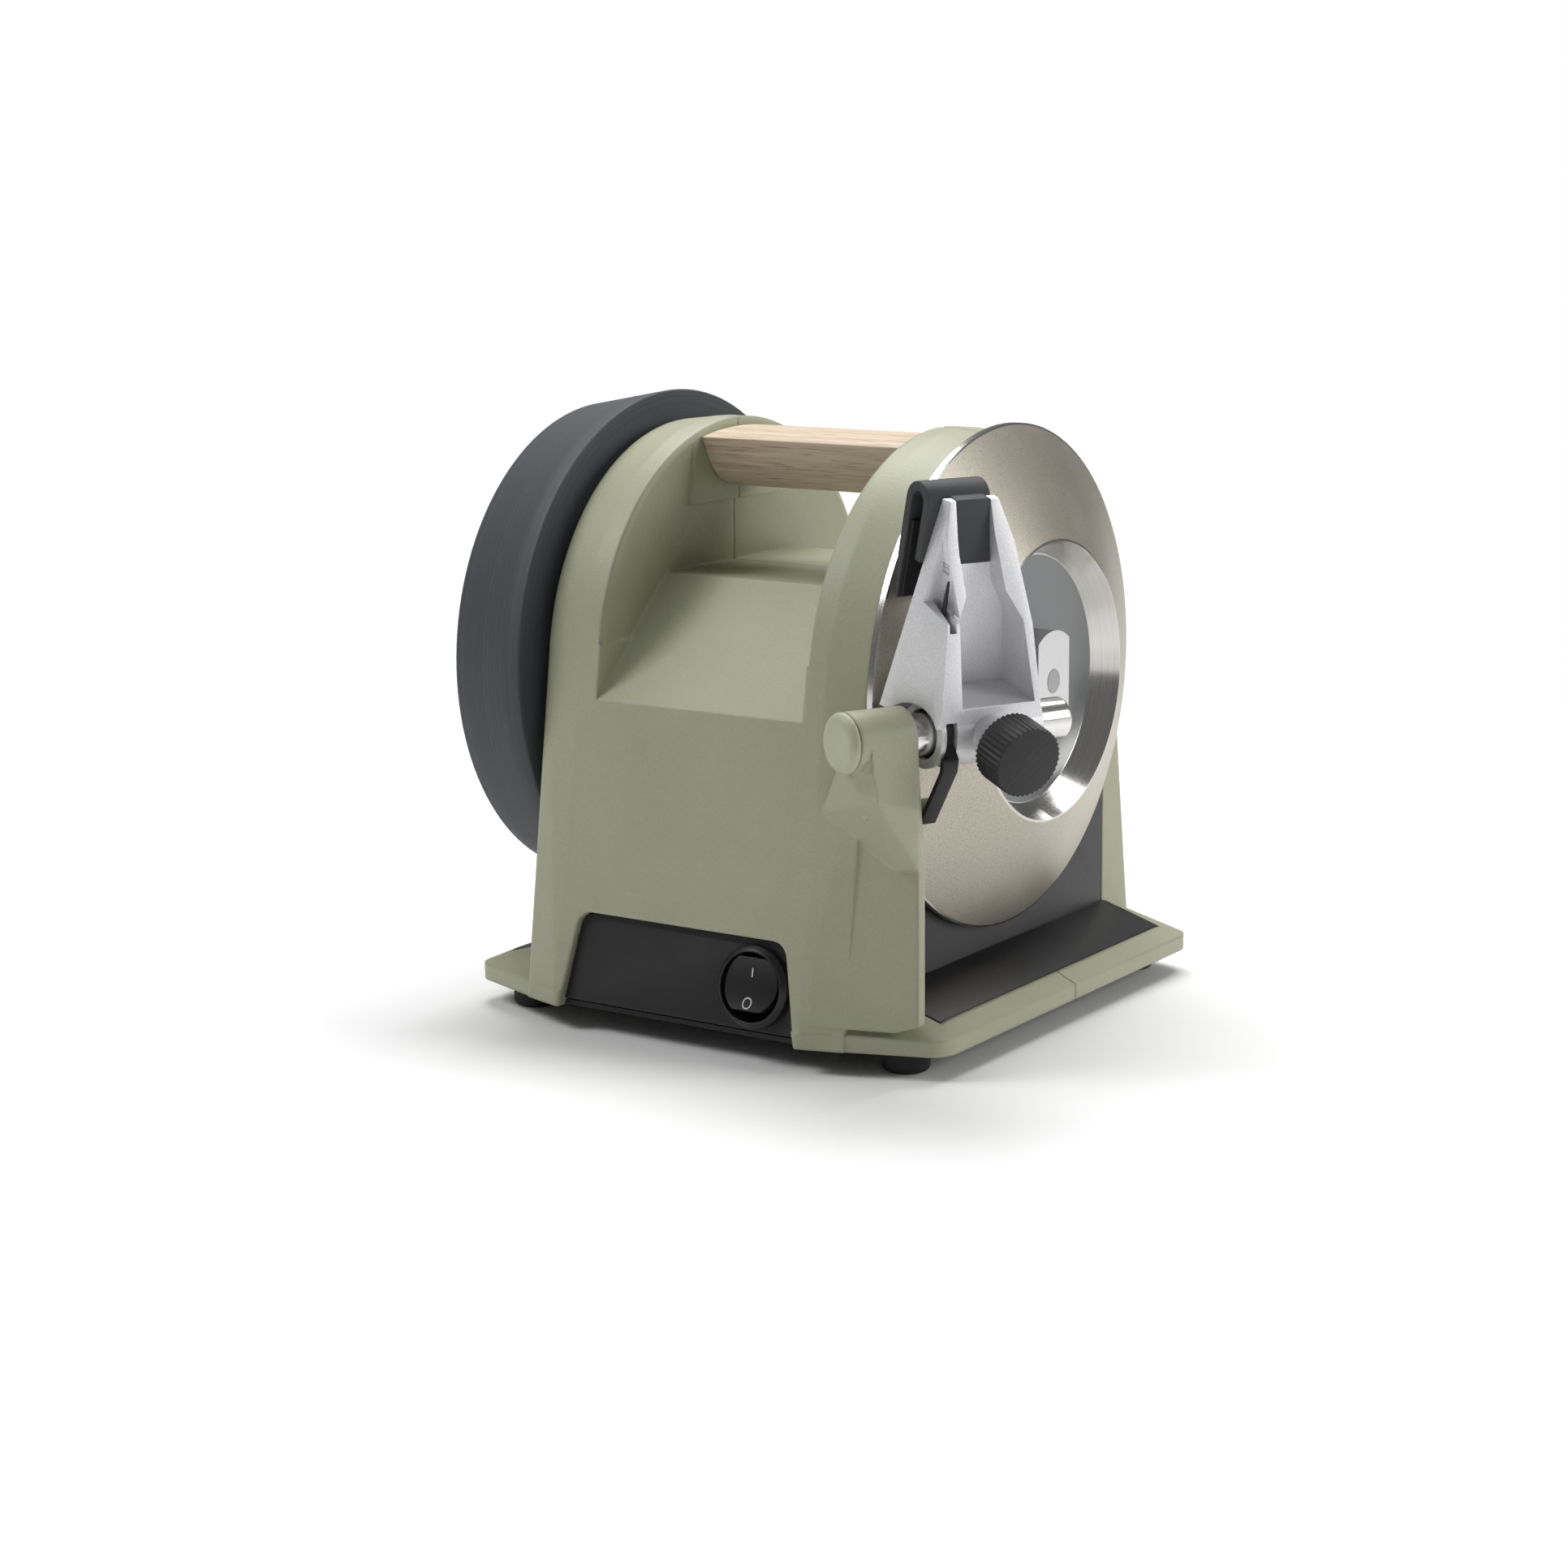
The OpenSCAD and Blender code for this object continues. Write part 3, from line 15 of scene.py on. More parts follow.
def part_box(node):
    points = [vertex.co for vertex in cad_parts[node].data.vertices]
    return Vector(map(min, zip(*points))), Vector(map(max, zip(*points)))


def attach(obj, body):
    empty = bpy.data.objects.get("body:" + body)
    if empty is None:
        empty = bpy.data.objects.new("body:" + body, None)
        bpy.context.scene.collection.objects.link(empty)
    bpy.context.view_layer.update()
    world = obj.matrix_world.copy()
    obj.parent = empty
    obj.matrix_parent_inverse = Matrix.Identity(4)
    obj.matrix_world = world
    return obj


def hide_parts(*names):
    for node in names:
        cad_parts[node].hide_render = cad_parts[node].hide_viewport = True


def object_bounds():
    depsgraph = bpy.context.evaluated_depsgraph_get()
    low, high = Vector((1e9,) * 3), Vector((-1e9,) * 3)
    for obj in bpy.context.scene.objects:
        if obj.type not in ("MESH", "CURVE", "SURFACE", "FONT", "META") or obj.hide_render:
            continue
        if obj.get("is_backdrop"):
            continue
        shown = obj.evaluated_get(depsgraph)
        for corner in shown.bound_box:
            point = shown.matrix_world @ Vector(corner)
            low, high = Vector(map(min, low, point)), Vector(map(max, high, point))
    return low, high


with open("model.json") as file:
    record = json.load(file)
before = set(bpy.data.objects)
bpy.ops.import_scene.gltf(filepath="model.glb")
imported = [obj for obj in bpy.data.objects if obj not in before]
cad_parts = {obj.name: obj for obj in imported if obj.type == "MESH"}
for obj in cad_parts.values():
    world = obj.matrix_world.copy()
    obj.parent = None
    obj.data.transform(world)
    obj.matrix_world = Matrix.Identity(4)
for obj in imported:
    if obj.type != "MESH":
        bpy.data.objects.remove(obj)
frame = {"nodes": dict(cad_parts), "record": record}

nodes = frame["nodes"]
bodies = frame["record"]["behaviour"]["bodies"]
body_of = {node: body for body, members in bodies.items() for node in members}
cad_low, cad_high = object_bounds()
bpy.ops.object.select_all(action="DESELECT")

# %% [markdown]
# ## Where things are
# Everything is in metres. The turned finishes need the axle's height, which comes from the diamond wheel's
# own box.
# %% The axle's height
MM = 0.001


def middle_of(node):
    low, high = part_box(node)
    return (low + high) / 2


axle_z = middle_of("diamond_wheel").z
print("axle height", round(axle_z, 4))

# %% [markdown]
# ## Shader maths in plain Python
# A material is a web of nodes. Typing that web by hand hides the idea, so one small class wraps a socket and
# lets ordinary plus, minus and times add the Math nodes. A second class adds every other node, and a third
# holds one material while it is being built.
# %% A socket with arithmetic
class Wire:
    """A socket's output. Arithmetic on it adds Math nodes."""

    def __init__(self, web, socket):
        self.web = web
        self.socket = socket

    def math(self, operation, *others):
        values = dict(enumerate((self,) + others))
        return self.web.node("ShaderNodeMath", {"operation": operation}, values)

    def flipped(self, operation, other):
        return self.web.node("ShaderNodeMath", {"operation": operation}, {0: other, 1: self})

    def __add__(self, other):
        return self.math("ADD", other)

    def __sub__(self, other):
        return self.math("SUBTRACT", other)

    def __rsub__(self, other):
        return self.flipped("SUBTRACT", other)

    def __mul__(self, other):
        return self.math("MULTIPLY", other)

    def __truediv__(self, other):
        return self.math("DIVIDE", other)

    def __rtruediv__(self, other):
        return self.flipped("DIVIDE", other)

    def __pow__(self, other):
        return self.math("POWER", other)

    __radd__ = __add__
    __rmul__ = __mul__

    def ramp(self, low, high):
        """0 below low, 1 above high, and smooth between them."""
        values = {"Value": self, "From Min": low, "From Max": high}
        return self.web.node("ShaderNodeMapRange", {"interpolation_type": "SMOOTHSTEP"}, values)


# %% A web of nodes
class Web:
    """A tree of shader nodes, with the one method that adds to it."""

    def __init__(self, tree):
        self.tree = tree

    def node(self, kind, settings=None, values=None, output=0):
        """Any node by its type. Its settings come first, then the values or links of its sockets."""
        made = self.tree.nodes.new(kind)
        for name, value in (settings or {}).items():
            setattr(made, name, value)
        for name, value in (values or {}).items():
            self.feed(made.inputs[name], value)
        return Wire(self, made.outputs[output])

    def feed(self, socket, value):
        if isinstance(value, Wire):
            self.tree.links.new(value.socket, socket)
        else:
            socket.default_value = value

    def seen_by(self, ray):
        """1 for one kind of ray, such as Is Camera Ray, and 0 for the others."""
        return self.node("ShaderNodeLightPath", output=ray)

    def layered(self, share, first, second):
        """The first shader where share is 0, and the second where it is 1."""
        return self.node("ShaderNodeMixShader", values={0: share, 1: first, 2: second})


# %% A material while it is being built
class Finish(Web):
    """One material, built around a Principled shader."""

    def __init__(self, name, **surface):
        self.material = bpy.data.materials.new(name)
        self.material.use_nodes = True
        super().__init__(self.material.node_tree)
        self.shader = self.tree.nodes["Principled BSDF"]
        for socket, value in surface.items():
            self.set(socket.replace("_", " "), value)

    def set(self, socket, value):
        self.feed(self.shader.inputs[socket], value)

    def place(self):
        """Object coordinates, in metres."""
        return self.node("ShaderNodeTexCoord", output="Object")

    def axes(self):
        """The three Object coordinates, each on its own."""
        split = self.node("ShaderNodeSeparateXYZ", values={0: self.place()}).socket.node
        return [Wire(self, output) for output in split.outputs]

    def vector(self, x, y, z):
        return self.node("ShaderNodeCombineXYZ", values={0: x, 1: y, 2: z})

    def noise(self, vector, size, detail=2.0, roughness=0.5):
        """Noise whose features are about size metres across."""
        values = {"Vector": vector, "Scale": 1 / size, "Detail": detail, "Roughness": roughness}
        return self.node("ShaderNodeTexNoise", values=values)

    def blend(self, share, first, second):
        """The first colour where share is 0, and the second where it is 1."""
        # A Mix node has its colours in inputs 6 and 7, and the mixed colour in output 2.
        return self.node("ShaderNodeMix", {"data_type": "RGBA"}, {0: share, 6: first, 7: second}, output=2)

    def bump(self, height, depth, strength=1.0, facing=None):
        values = {"Height": height, "Distance": depth, "Strength": strength}
        if facing is not None:
            values["Normal"] = facing
        self.set("Normal", self.node("ShaderNodeBump", values=values))


# %% Colours
def paint(red, green, blue):
    """A colour as seen on a screen, from 0 to 255, made linear."""
    return tuple(((c / 255 + 0.055) / 1.055) ** 2.4 for c in (red, green, blue)) + (1.0,)


def toned(colour, share, lift=0.0):
    """The same colour, darker or paler."""
    return tuple(min(1.0, c * share + lift) for c in colour[:3]) + (1.0,)


print("helpers ready")

# %% [markdown]
# ## Sage green enamel
# The casing is powder coated: matt, with a fine grain that one feels more than sees. Noise of under a
# millimetre makes the grain, a wide faint noise makes the coat uneven, and the coat is painted a little paler
# along every edge, partly as rubbed wear and partly as a painted highlight. The casing's solid has sharp
# edges, and a Bevel node rounds them in the shading alone.
# %% Enamel
def enamel(name, colour):
    finish = Finish(name, Specular_IOR_Level=0.45)
    spot = finish.place()
    grain = finish.noise(spot, size=0.9 * MM, roughness=0.6)
    cloud = finish.noise(spot, size=28 * MM)
    edge_radius = 1.8 * MM
    rounded = finish.node("ShaderNodeBevel", {"samples": 8}, {"Radius": edge_radius})
    straight = finish.node("ShaderNodeNewGeometry", output="Normal")
    dot_product = {"operation": "DOT_PRODUCT"}
    likeness = finish.node("ShaderNodeVectorMath", dot_product, {0: rounded, 1: straight}, output="Value")
    # The coat is painted paler along every edge: partly rubbed wear, partly a painted highlight.
    edge = (1 - likeness).ramp(0.004, 0.12)
    pale = toned(colour, 1.35)
    coat = finish.blend(cloud, toned(colour, 0.9), toned(colour, 1.08))
    coat = finish.blend(grain.ramp(0.5, 0.72) * 0.2, coat, pale)
    finish.set("Base Color", finish.blend(edge * 0.35, coat, pale))
    finish.set("Roughness", 0.38 + grain * 0.16 - edge * 0.06)
    finish.bump(grain, depth=0.09 * MM, strength=0.9, facing=rounded)
    return finish.material


sage = enamel("sage_enamel", paint(160, 162, 138))
cream_sage = enamel("cap_enamel", paint(172, 175, 150))
print("enamels", sage.name, cream_sage.name)

# %% [markdown]
# ## Oak
# Oak shows long fibres, dark open pores in short strokes, and a slow change of tone. All three are noise
# stretched along the handle: the same noise looks like fibre once its length is forty times its width.
# %% Oak
def oak():
    finish = Finish("oiled_oak", Specular_IOR_Level=0.35)
    x, y, z = finish.axes()
    sway = finish.noise(finish.vector(x * 0.25, y, z), size=18 * MM, detail=1.0)
    bent = finish.vector(x * 0.03, y + sway * 6 * MM, z * 1.3 + sway * 9 * MM)
    figure = finish.noise(bent, size=2.6 * MM, detail=3.0, roughness=0.6)
    fibre = finish.noise(finish.vector(x * 0.025, y, z), size=0.55 * MM, roughness=0.7)
    stroke = finish.vector(x * 0.07, y + sway * 4 * MM, z + sway * 4 * MM)
    pores = finish.noise(stroke, size=0.75 * MM, detail=1.0).ramp(0.6, 0.7)
    tone = finish.blend(figure.ramp(0.3, 0.72), paint(216, 200, 180), paint(190, 170, 147))
    tone = finish.blend(fibre.ramp(0.35, 0.75) * 0.45, tone, paint(172, 150, 127))
    finish.set("Base Color", finish.blend(pores * 0.5, tone, paint(142, 119, 96)))
    finish.set("Roughness", 0.5 + pores * 0.2)
    finish.bump(fibre * 0.4 + figure * 0.3 - pores * 0.8, depth=0.12 * MM, strength=0.6)
    return finish.material


oak_wood = oak()
print("wood", oak_wood.name)

# %% [markdown]
# ## Turned and ground metal
# A lathe leaves rings about the axle. The rings are noise read from the distance to the axle and the place
# along it, so they stay round wherever the wheel is cut. The grinding face has no rings: it is covered with
# diamond grain.
# %% Metals
def radius_about_axle(finish):
    """The place along the axle, and the distance from it."""
    x, y, z = finish.axes()
    height = z - axle_z
    return x, (y * y + height * height) ** 0.5


def lathe_rings(finish, x, radius, size):
    return finish.noise(finish.vector(x, radius, 0.0), size, detail=3.0, roughness=0.7)


def turned(name, colour, roughness, ring_depth):
    finish = Finish(name, Metallic=1.0)
    x, radius = radius_about_axle(finish)
    rings = lathe_rings(finish, x, radius, size=0.35 * MM)
    smear = finish.noise(finish.place(), size=16 * MM)
    finish.set("Base Color", finish.blend(rings * 0.7, toned(colour, 0.86), colour))
    finish.set("Roughness", roughness + rings * 0.12 + smear * 0.06)
    finish.bump(rings, ring_depth, strength=0.7)
    return finish.material


def plain_metal(name, colour, roughness, grain_size=0.5 * MM, grain_depth=0.006 * MM):
    finish = Finish(name, Metallic=1.0)
    grain = finish.noise(finish.place(), grain_size, roughness=0.6)
    smear = finish.noise(finish.place(), size=12 * MM)
    finish.set("Base Color", finish.blend(smear, toned(colour, 0.88), colour))
    finish.set("Roughness", roughness + grain * 0.1 + smear * 0.05)
    finish.bump(grain, grain_depth, strength=0.6)
    return finish.material


satin_steel = turned("satin_steel", paint(222, 222, 222), 0.2, ring_depth=0.006 * MM)
bar_steel = plain_metal("bar_steel", paint(226, 225, 222), 0.12, 0.3 * MM, 0.002 * MM)
plain_steel = plain_metal("screw_steel", paint(168, 168, 170), 0.3)
bright_zinc = plain_metal("zinc_steel", paint(190, 190, 194), 0.28)
cast_alloy = plain_metal("cast_alloy", paint(176, 177, 180), 0.45, 0.7 * MM, 0.03 * MM)
bronze = plain_metal("bearing_bronze", paint(196, 158, 96), 0.32)
print("metals", satin_steel.name, bar_steel.name, plain_steel.name, bright_zinc.name, cast_alloy.name)

# %% [markdown]
# ## The diamond wheel
# One turned body has three finishes on it, so one material reads the radius and changes there: a grey plate
# in the middle, turned steel on the recess's wall and on the rim, and diamond grain on the cone between them.
# %% Diamond wheel
plate_ends = (36.6 * MM, 36.9 * MM)
grain_starts = (41.6 * MM, 42.1 * MM)
grain_ends = (74.3 * MM, 74.6 * MM)


def wheel_finish():
    finish = Finish("diamond_wheel_finish")
    spot = finish.place()
    x, radius = radius_about_axle(finish)
    plate = 1 - radius.ramp(*plate_ends)
    grit = radius.ramp(*grain_starts) * (1 - radius.ramp(*grain_ends))
    grain = finish.noise(spot, size=0.34 * MM, roughness=0.7)
    patch = finish.noise(spot, size=22 * MM)
    rings = lathe_rings(finish, x, radius, size=0.4 * MM)
    sparkle = grain.ramp(0.6, 0.72)
    sand = finish.blend(patch, paint(176, 170, 157), paint(190, 184, 171))
    sand = finish.blend(grain.ramp(0.3, 0.5), paint(148, 142, 130), sand)
    sand = finish.blend(sparkle * 0.5, sand, paint(228, 224, 213))
    steel = finish.blend(rings, paint(178, 177, 173), paint(226, 225, 221))
    steel = finish.blend(plate, steel, paint(128, 129, 130))
    dullness = 0.24 - sparkle * 0.12 + patch * 0.05
    finish.set("Base Color", finish.blend(grit, steel, sand))
    finish.set("Roughness", 0.13 + rings * 0.1 + plate * 0.2 + grit * dullness)
    finish.set("Metallic", 1 - grit * 0.1 - plate * 0.35)
    finish.bump(grit * grain * 1.5 + rings * (1 - grit) * 0.25, depth=0.03 * MM, strength=0.8)
    return finish.material


diamond = wheel_finish()
print("diamond wheel", diamond.name)

# %% [markdown]
# ## Blasted alloy of the knife guide
# The guide is die cast and bead blasted, so it is pale, dull and evenly speckled. It is metal under a dull
# skin, so the shader is only partly metallic, which keeps it pale in shade as the real one is.
# %% Guide alloy
def blasted_alloy(name, colour, depth):
    finish = Finish(name, Metallic=0.55)
    spot = finish.place()
    grain = finish.noise(spot, size=0.38 * MM, roughness=0.65)
    cloud = finish.noise(spot, size=9 * MM)
    darker = toned(colour, 0.8)
    tone = finish.blend(grain.ramp(0.3, 0.65), darker, colour)
    finish.set("Base Color", finish.blend(cloud * 0.25, tone, darker))
    finish.set("Roughness", 0.46 + grain * 0.14)
    finish.bump(grain, depth, strength=0.8)
    return finish.material


guide_alloy = blasted_alloy("guide_alloy", paint(230, 230, 232), depth=0.05 * MM)
print("guide alloy", guide_alloy.name)

# %% [markdown]
# ## Plastics, rubber and the honing composite
# Black parts are never one flat black. The covers are moulded with a leathery grain, the strap and feet are
# dull rubber with pale dust in patches, and the honing wheel shows rings from the dresser that trued it.
# %% Plastics and rubber
def moulded(name, colour, roughness, grain_size=0.8, depth=0.05, dust=0.25):
    """The grain's size and depth are in mm."""
    finish = Finish(name, Specular_IOR_Level=0.4)
    spot = finish.place()
    grain = finish.noise(spot, grain_size * MM, roughness=0.6)
    cloud = finish.noise(spot, size=18 * MM)
    pale = toned(colour, 1.7, lift=0.006)
    tone = finish.blend(cloud.ramp(0.35, 0.7) * dust, colour, pale)
    finish.set("Base Color", finish.blend(grain.ramp(0.55, 0.75) * dust, tone, pale))
    finish.set("Roughness", roughness + grain * 0.12 + cloud * 0.06)
    finish.bump(grain, depth * MM, strength=0.7)
    return finish.material


def honing_composite():
    finish = Finish("honing_composite", Specular_IOR_Level=0.35)
    x, radius = radius_about_axle(finish)
    rings = lathe_rings(finish, x, radius, size=0.55 * MM)
    grit = finish.noise(finish.place(), size=0.4 * MM, roughness=0.7)
    cloud = finish.noise(finish.place(), size=26 * MM)
    tone = finish.blend(rings.ramp(0.3, 0.7), paint(64, 66, 70), paint(74, 76, 80))
    tone = finish.blend(cloud * 0.3, tone, paint(58, 60, 63))
    finish.set("Base Color", finish.blend(grit.ramp(0.62, 0.78) * 0.3, tone, paint(104, 106, 110)))
    finish.set("Roughness", 0.6 + grit * 0.15)
    finish.bump(rings * 0.7 + grit * 0.5, depth=0.04 * MM, strength=0.7)
    return finish.material


cover_plastic = moulded("cover_plastic", paint(35, 35, 37), 0.36)
panel_plastic = moulded("panel_plastic", paint(24, 24, 25), 0.4, grain_size=0.7, depth=0.03)
switch_plastic = moulded("switch_plastic", paint(27, 27, 29), 0.27, grain_size=0.5, depth=0.008, dust=0.12)
knob_plastic = moulded("knob_plastic", paint(30, 30, 32), 0.45, grain_size=0.4, depth=0.02)
foot_rubber = moulded("foot_rubber", paint(36, 36, 37), 0.66, grain_size=0.6, depth=0.04, dust=0.4)
strap_rubber = moulded("strap_rubber", paint(54, 55, 57), 0.56, grain_size=0.5, depth=0.03, dust=0.3)
pad_felt = moulded("pad_felt", paint(30, 30, 31), 0.85, grain_size=0.5, depth=0.2, dust=0.5)
tyre_rubber = moulded("tyre_rubber", paint(48, 48, 49), 0.7, grain_size=0.6, depth=0.05, dust=0.4)
pale_plastic = moulded("pale_plastic", paint(214, 211, 200), 0.4, grain_size=0.9, depth=0.02, dust=0.1)
black_ink = moulded("black_ink", paint(44, 44, 46), 0.6, grain_size=0.6, depth=0.003, dust=0.2)
white_ink = moulded("white_ink", paint(206, 206, 202), 0.55, grain_size=0.6, depth=0.003, dust=0.1)
honing = honing_composite()
print("plastics, rubber and inks ready, and", honing.name)

# %% [markdown]
# ## Motor finishes
# The motor is hidden, but anyone who opens the model sees it. The stator is a stack of thin sheets, so its
# lines repeat along the axle, and the windings are varnished copper wire.
# %% Laminations and windings
def laminations():
    finish = Finish("motor_laminations", Metallic=0.8)
    x = finish.axes()[0]
    sheet_thickness = 0.5 * MM
    sheet = ((x / sheet_thickness).math("FRACT") - 0.5).math("ABSOLUTE").ramp(0.36, 0.48)
    rust = finish.noise(finish.place(), size=6 * MM, detail=3.0)
    tone = finish.blend(rust.ramp(0.4, 0.75) * 0.4, paint(122, 124, 128), paint(104, 92, 82))
    finish.set("Base Color", finish.blend(sheet * 0.7, tone, paint(58, 58, 60)))
    finish.set("Roughness", 0.5 + rust * 0.2)
    finish.bump(0 - sheet, depth=0.06 * MM)
    return finish.material


def varnished_copper():
    finish = Finish("varnished_copper", Metallic=0.6, Coat_Weight=0.4)
    x, y, z = finish.axes()
    strands = finish.noise(finish.vector(x * 0.1, y, z), size=0.6 * MM, detail=1.0)
    copper_tone = finish.blend(strands.ramp(0.35, 0.65), paint(126, 66, 36), paint(190, 112, 66))
    finish.set("Base Color", copper_tone)
    finish.set("Roughness", 0.3 + strands * 0.15)
    finish.bump(strands, depth=0.15 * MM)
    return finish.material


steel_sheets = laminations()
copper = varnished_copper()
print("motor finishes", steel_sheets.name, copper.name)

# %% [markdown]
# ## Giving every part its finish
# Each node of the frame gets one material in its slot. Its mesh isn't touched.
# %% Assign the finishes
finish_of = {
    sage: ["front_casing", "rear_casing"],
    cream_sage: ["bar_cap"],
    oak_wood: ["oak_handle"],
    plain_steel: ["handle_screws", "casing_screws", "foot_screws", "motor_bolts", "motor_bearings",
                  "motor_shaft", "wheel_shaft", "shaft_bearings", "spacer_sleeves", "honing_lock_nut",
                  "angle_screw"],
    panel_plastic: ["front_panel", "rear_panel", "bottom_plate"],
    cover_plastic: ["left_side_cover", "right_side_cover", "cooling_fan"],
    foot_rubber: ["rubber_feet", "cable_gland"],
    switch_plastic: ["switch_body", "switch_bezel", "switch_rocker"],
    steel_sheets: ["stator_core", "rotor_core"],
    copper: ["motor_windings"],
    cast_alloy: ["motor_left_bell", "motor_right_bell", "drive_wheel_disc", "honing_hub"],
    bright_zinc: ["motor_cradle"],
    pale_plastic: ["run_capacitor", "terminal_block"],
    tyre_rubber: ["drive_wheel_tyre"],
    diamond: ["diamond_wheel"],
    satin_steel: ["diamond_lock_nut"],
    honing: ["honing_ring"],
    bar_steel: ["guide_bar"],
    guide_alloy: ["guide_body"],
    bronze: ["guide_bush"],
    strap_rubber: ["guide_strap"],
    pad_felt: ["guide_pad"],
    knob_plastic: ["guide_lever", "angle_knob"],
}
for material, names in finish_of.items():
    for name in names:
        nodes[name].data.materials.clear()
        nodes[name].data.materials.append(material)
finished = {name for names in finish_of.values() for name in names}
print("parts without a finish", sorted(set(nodes) - finished))

# %% [markdown]
# ## Soft edges
# Cast and moulded parts have no knife edges, and light finds every one that a model leaves. A copy of the
# part's mesh is merged, its flat faces are joined back into one, and a bevel rounds each edge at which the
# surface turns by more than a given angle.
# %% A rounded copy of a part
merge_within = 0.002 * MM
flat_within = math.radians(0.05)
smooth_below = math.radians(28)


def rounded_copy(node, radius, steps=3, least_turn=24):
    """The radius is in mm, and least_turn in degrees."""
    piece = bpy.data.objects.new(node + "_finished", nodes[node].data.copy())
    bpy.context.scene.collection.objects.link(piece)
    bpy.ops.object.select_all(action="DESELECT")
    piece.select_set(True)
    bpy.context.view_layer.objects.active = piece
    bpy.ops.object.mode_set(mode="EDIT")
    bpy.ops.mesh.select_all(action="SELECT")
    bpy.ops.mesh.remove_doubles(threshold=merge_within)
    bpy.ops.mesh.dissolve_limited(angle_limit=flat_within)
    bpy.ops.object.mode_set(mode="OBJECT")
    bevel = piece.modifiers.new("soft edges", "BEVEL")
    bevel.width = radius * MM
    bevel.segments = steps
    bevel.limit_method = "ANGLE"
    bevel.angle_limit = math.radians(least_turn)
    bevel.use_clamp_overlap = True
    bevel.miter_outer = "MITER_ARC"
    bpy.ops.object.modifier_apply(modifier=bevel.name)
    bpy.ops.object.shade_smooth_by_angle(angle=smooth_below)
    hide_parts(node)
    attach(piece, body_of[node])
    print(node, "rounded to", len(piece.data.polygons), "faces")


# %% Round the parts that show
soft_edges = {
    "guide_body": {"radius": 0.45},
    "guide_strap": {"radius": 0.5, "least_turn": 40},
    "honing_ring": {"radius": 1.1, "steps": 4},
    "bar_cap": {"radius": 1.6, "steps": 5},
    "rubber_feet": {"radius": 0.7},
    "angle_knob": {"radius": 0.25, "steps": 2},
    "oak_handle": {"radius": 1.4, "steps": 4},
    "front_panel": {"radius": 0.5},
    "rear_panel": {"radius": 0.4, "steps": 2},
    "right_side_cover": {"radius": 0.5},
    "left_side_cover": {"radius": 0.5},
    "switch_bezel": {"radius": 0.5},
    "switch_rocker": {"radius": 0.4},
    "guide_lever": {"radius": 0.4},
    "guide_bar": {"radius": 0.5},
    "cable_gland": {"radius": 0.4},
}
for node, edge in soft_edges.items():
    rounded_copy(node, **edge)

# %% [markdown]
# ## Printed marks
# The scale on the guide and the line and circle on the switch are printed. Each mark starts as a flat shape.
# Every point of it is then dropped along a straight line onto the part that carries it, and stays a hair
# above the surface.
# %% Drop a flat shape onto a part
drop_from = 5 * MM
drop_reach = 12 * MM
ink_height = 0.03 * MM


def printed(piece, node, middle, across, rising, finish):
    """The piece's x and y go along across and rising from middle, and its points fall onto the node."""
    mesh = nodes[node].data
    tree = BVHTree.FromPolygons([v.co for v in mesh.vertices], [p.vertices for p in mesh.polygons])
    facing = across.cross(rising).normalized()
    missed = 0
    for vertex in piece.data.vertices:
        above = middle + across * vertex.co.x + rising * vertex.co.y + facing * drop_from
        hit = tree.ray_cast(above, -facing, drop_reach)[0]
        missed += hit is None
        vertex.co = (hit or above) + facing * ink_height
    piece.data.materials.clear()
    piece.data.materials.append(finish)
    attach(piece, body_of[node])
    print(piece.name, "points that missed", missed)


# %% Flat words and flat strokes
def flat_text(name, words, size):
    bpy.ops.object.select_all(action="DESELECT")
    bpy.ops.object.text_add(location=(0, 0, 0))
    text = bpy.context.object
    text.data.body = words
    text.data.size = size
    text.data.align_x = "CENTER"
    text.data.align_y = "CENTER"
    bpy.ops.object.convert(target="MESH")
    piece = bpy.context.object
    piece.name = name
    return piece


def flat_stroke(name, width, height, cuts=0):
    """A flat rectangle. Cuts let it follow a hollow face."""
    bpy.ops.object.select_all(action="DESELECT")
    bpy.ops.mesh.primitive_plane_add(size=1, location=(0, 0, 0))
    piece = bpy.context.object
    piece.name = name
    bpy.ops.object.mode_set(mode="EDIT")
    bpy.ops.transform.resize(value=(width, height, 1))
    if cuts:
        bpy.ops.mesh.subdivide(number_cuts=cuts)
    bpy.ops.object.mode_set(mode="OBJECT")
    return piece


print("printing ready")

# %% [markdown]
# ## Directions on the guide
# The guide's own axes come from the bar, which points back and to the right: u runs along the bar, v across
# the guide and w up it. The guide leans to the right, away from the wheel, by 15 degrees.
# %% The guide's axes
bar_turn = math.radians(25)
lean = math.radians(15)
bar_below_axle = 4.5
bar_start = Vector((63.7, -94.5, axle_z / MM - bar_below_axle)) * MM
along_bar = Vector((math.sin(bar_turn), math.cos(bar_turn), 0))
outward = Vector((math.cos(bar_turn), -math.sin(bar_turn), 0))
guide_across = outward * math.cos(lean) - Vector((0, 0, math.sin(lean)))
guide_rising = Vector((0, 0, math.cos(lean))) + outward * math.sin(lean)


def on_guide(u, v, w):
    """A place in mm on the guide's axes, in metres on the frame's."""
    return bar_start + (along_bar * u + guide_across * v + guide_rising * w) * MM


print("guide rises along", [round(c, 3) for c in guide_rising])

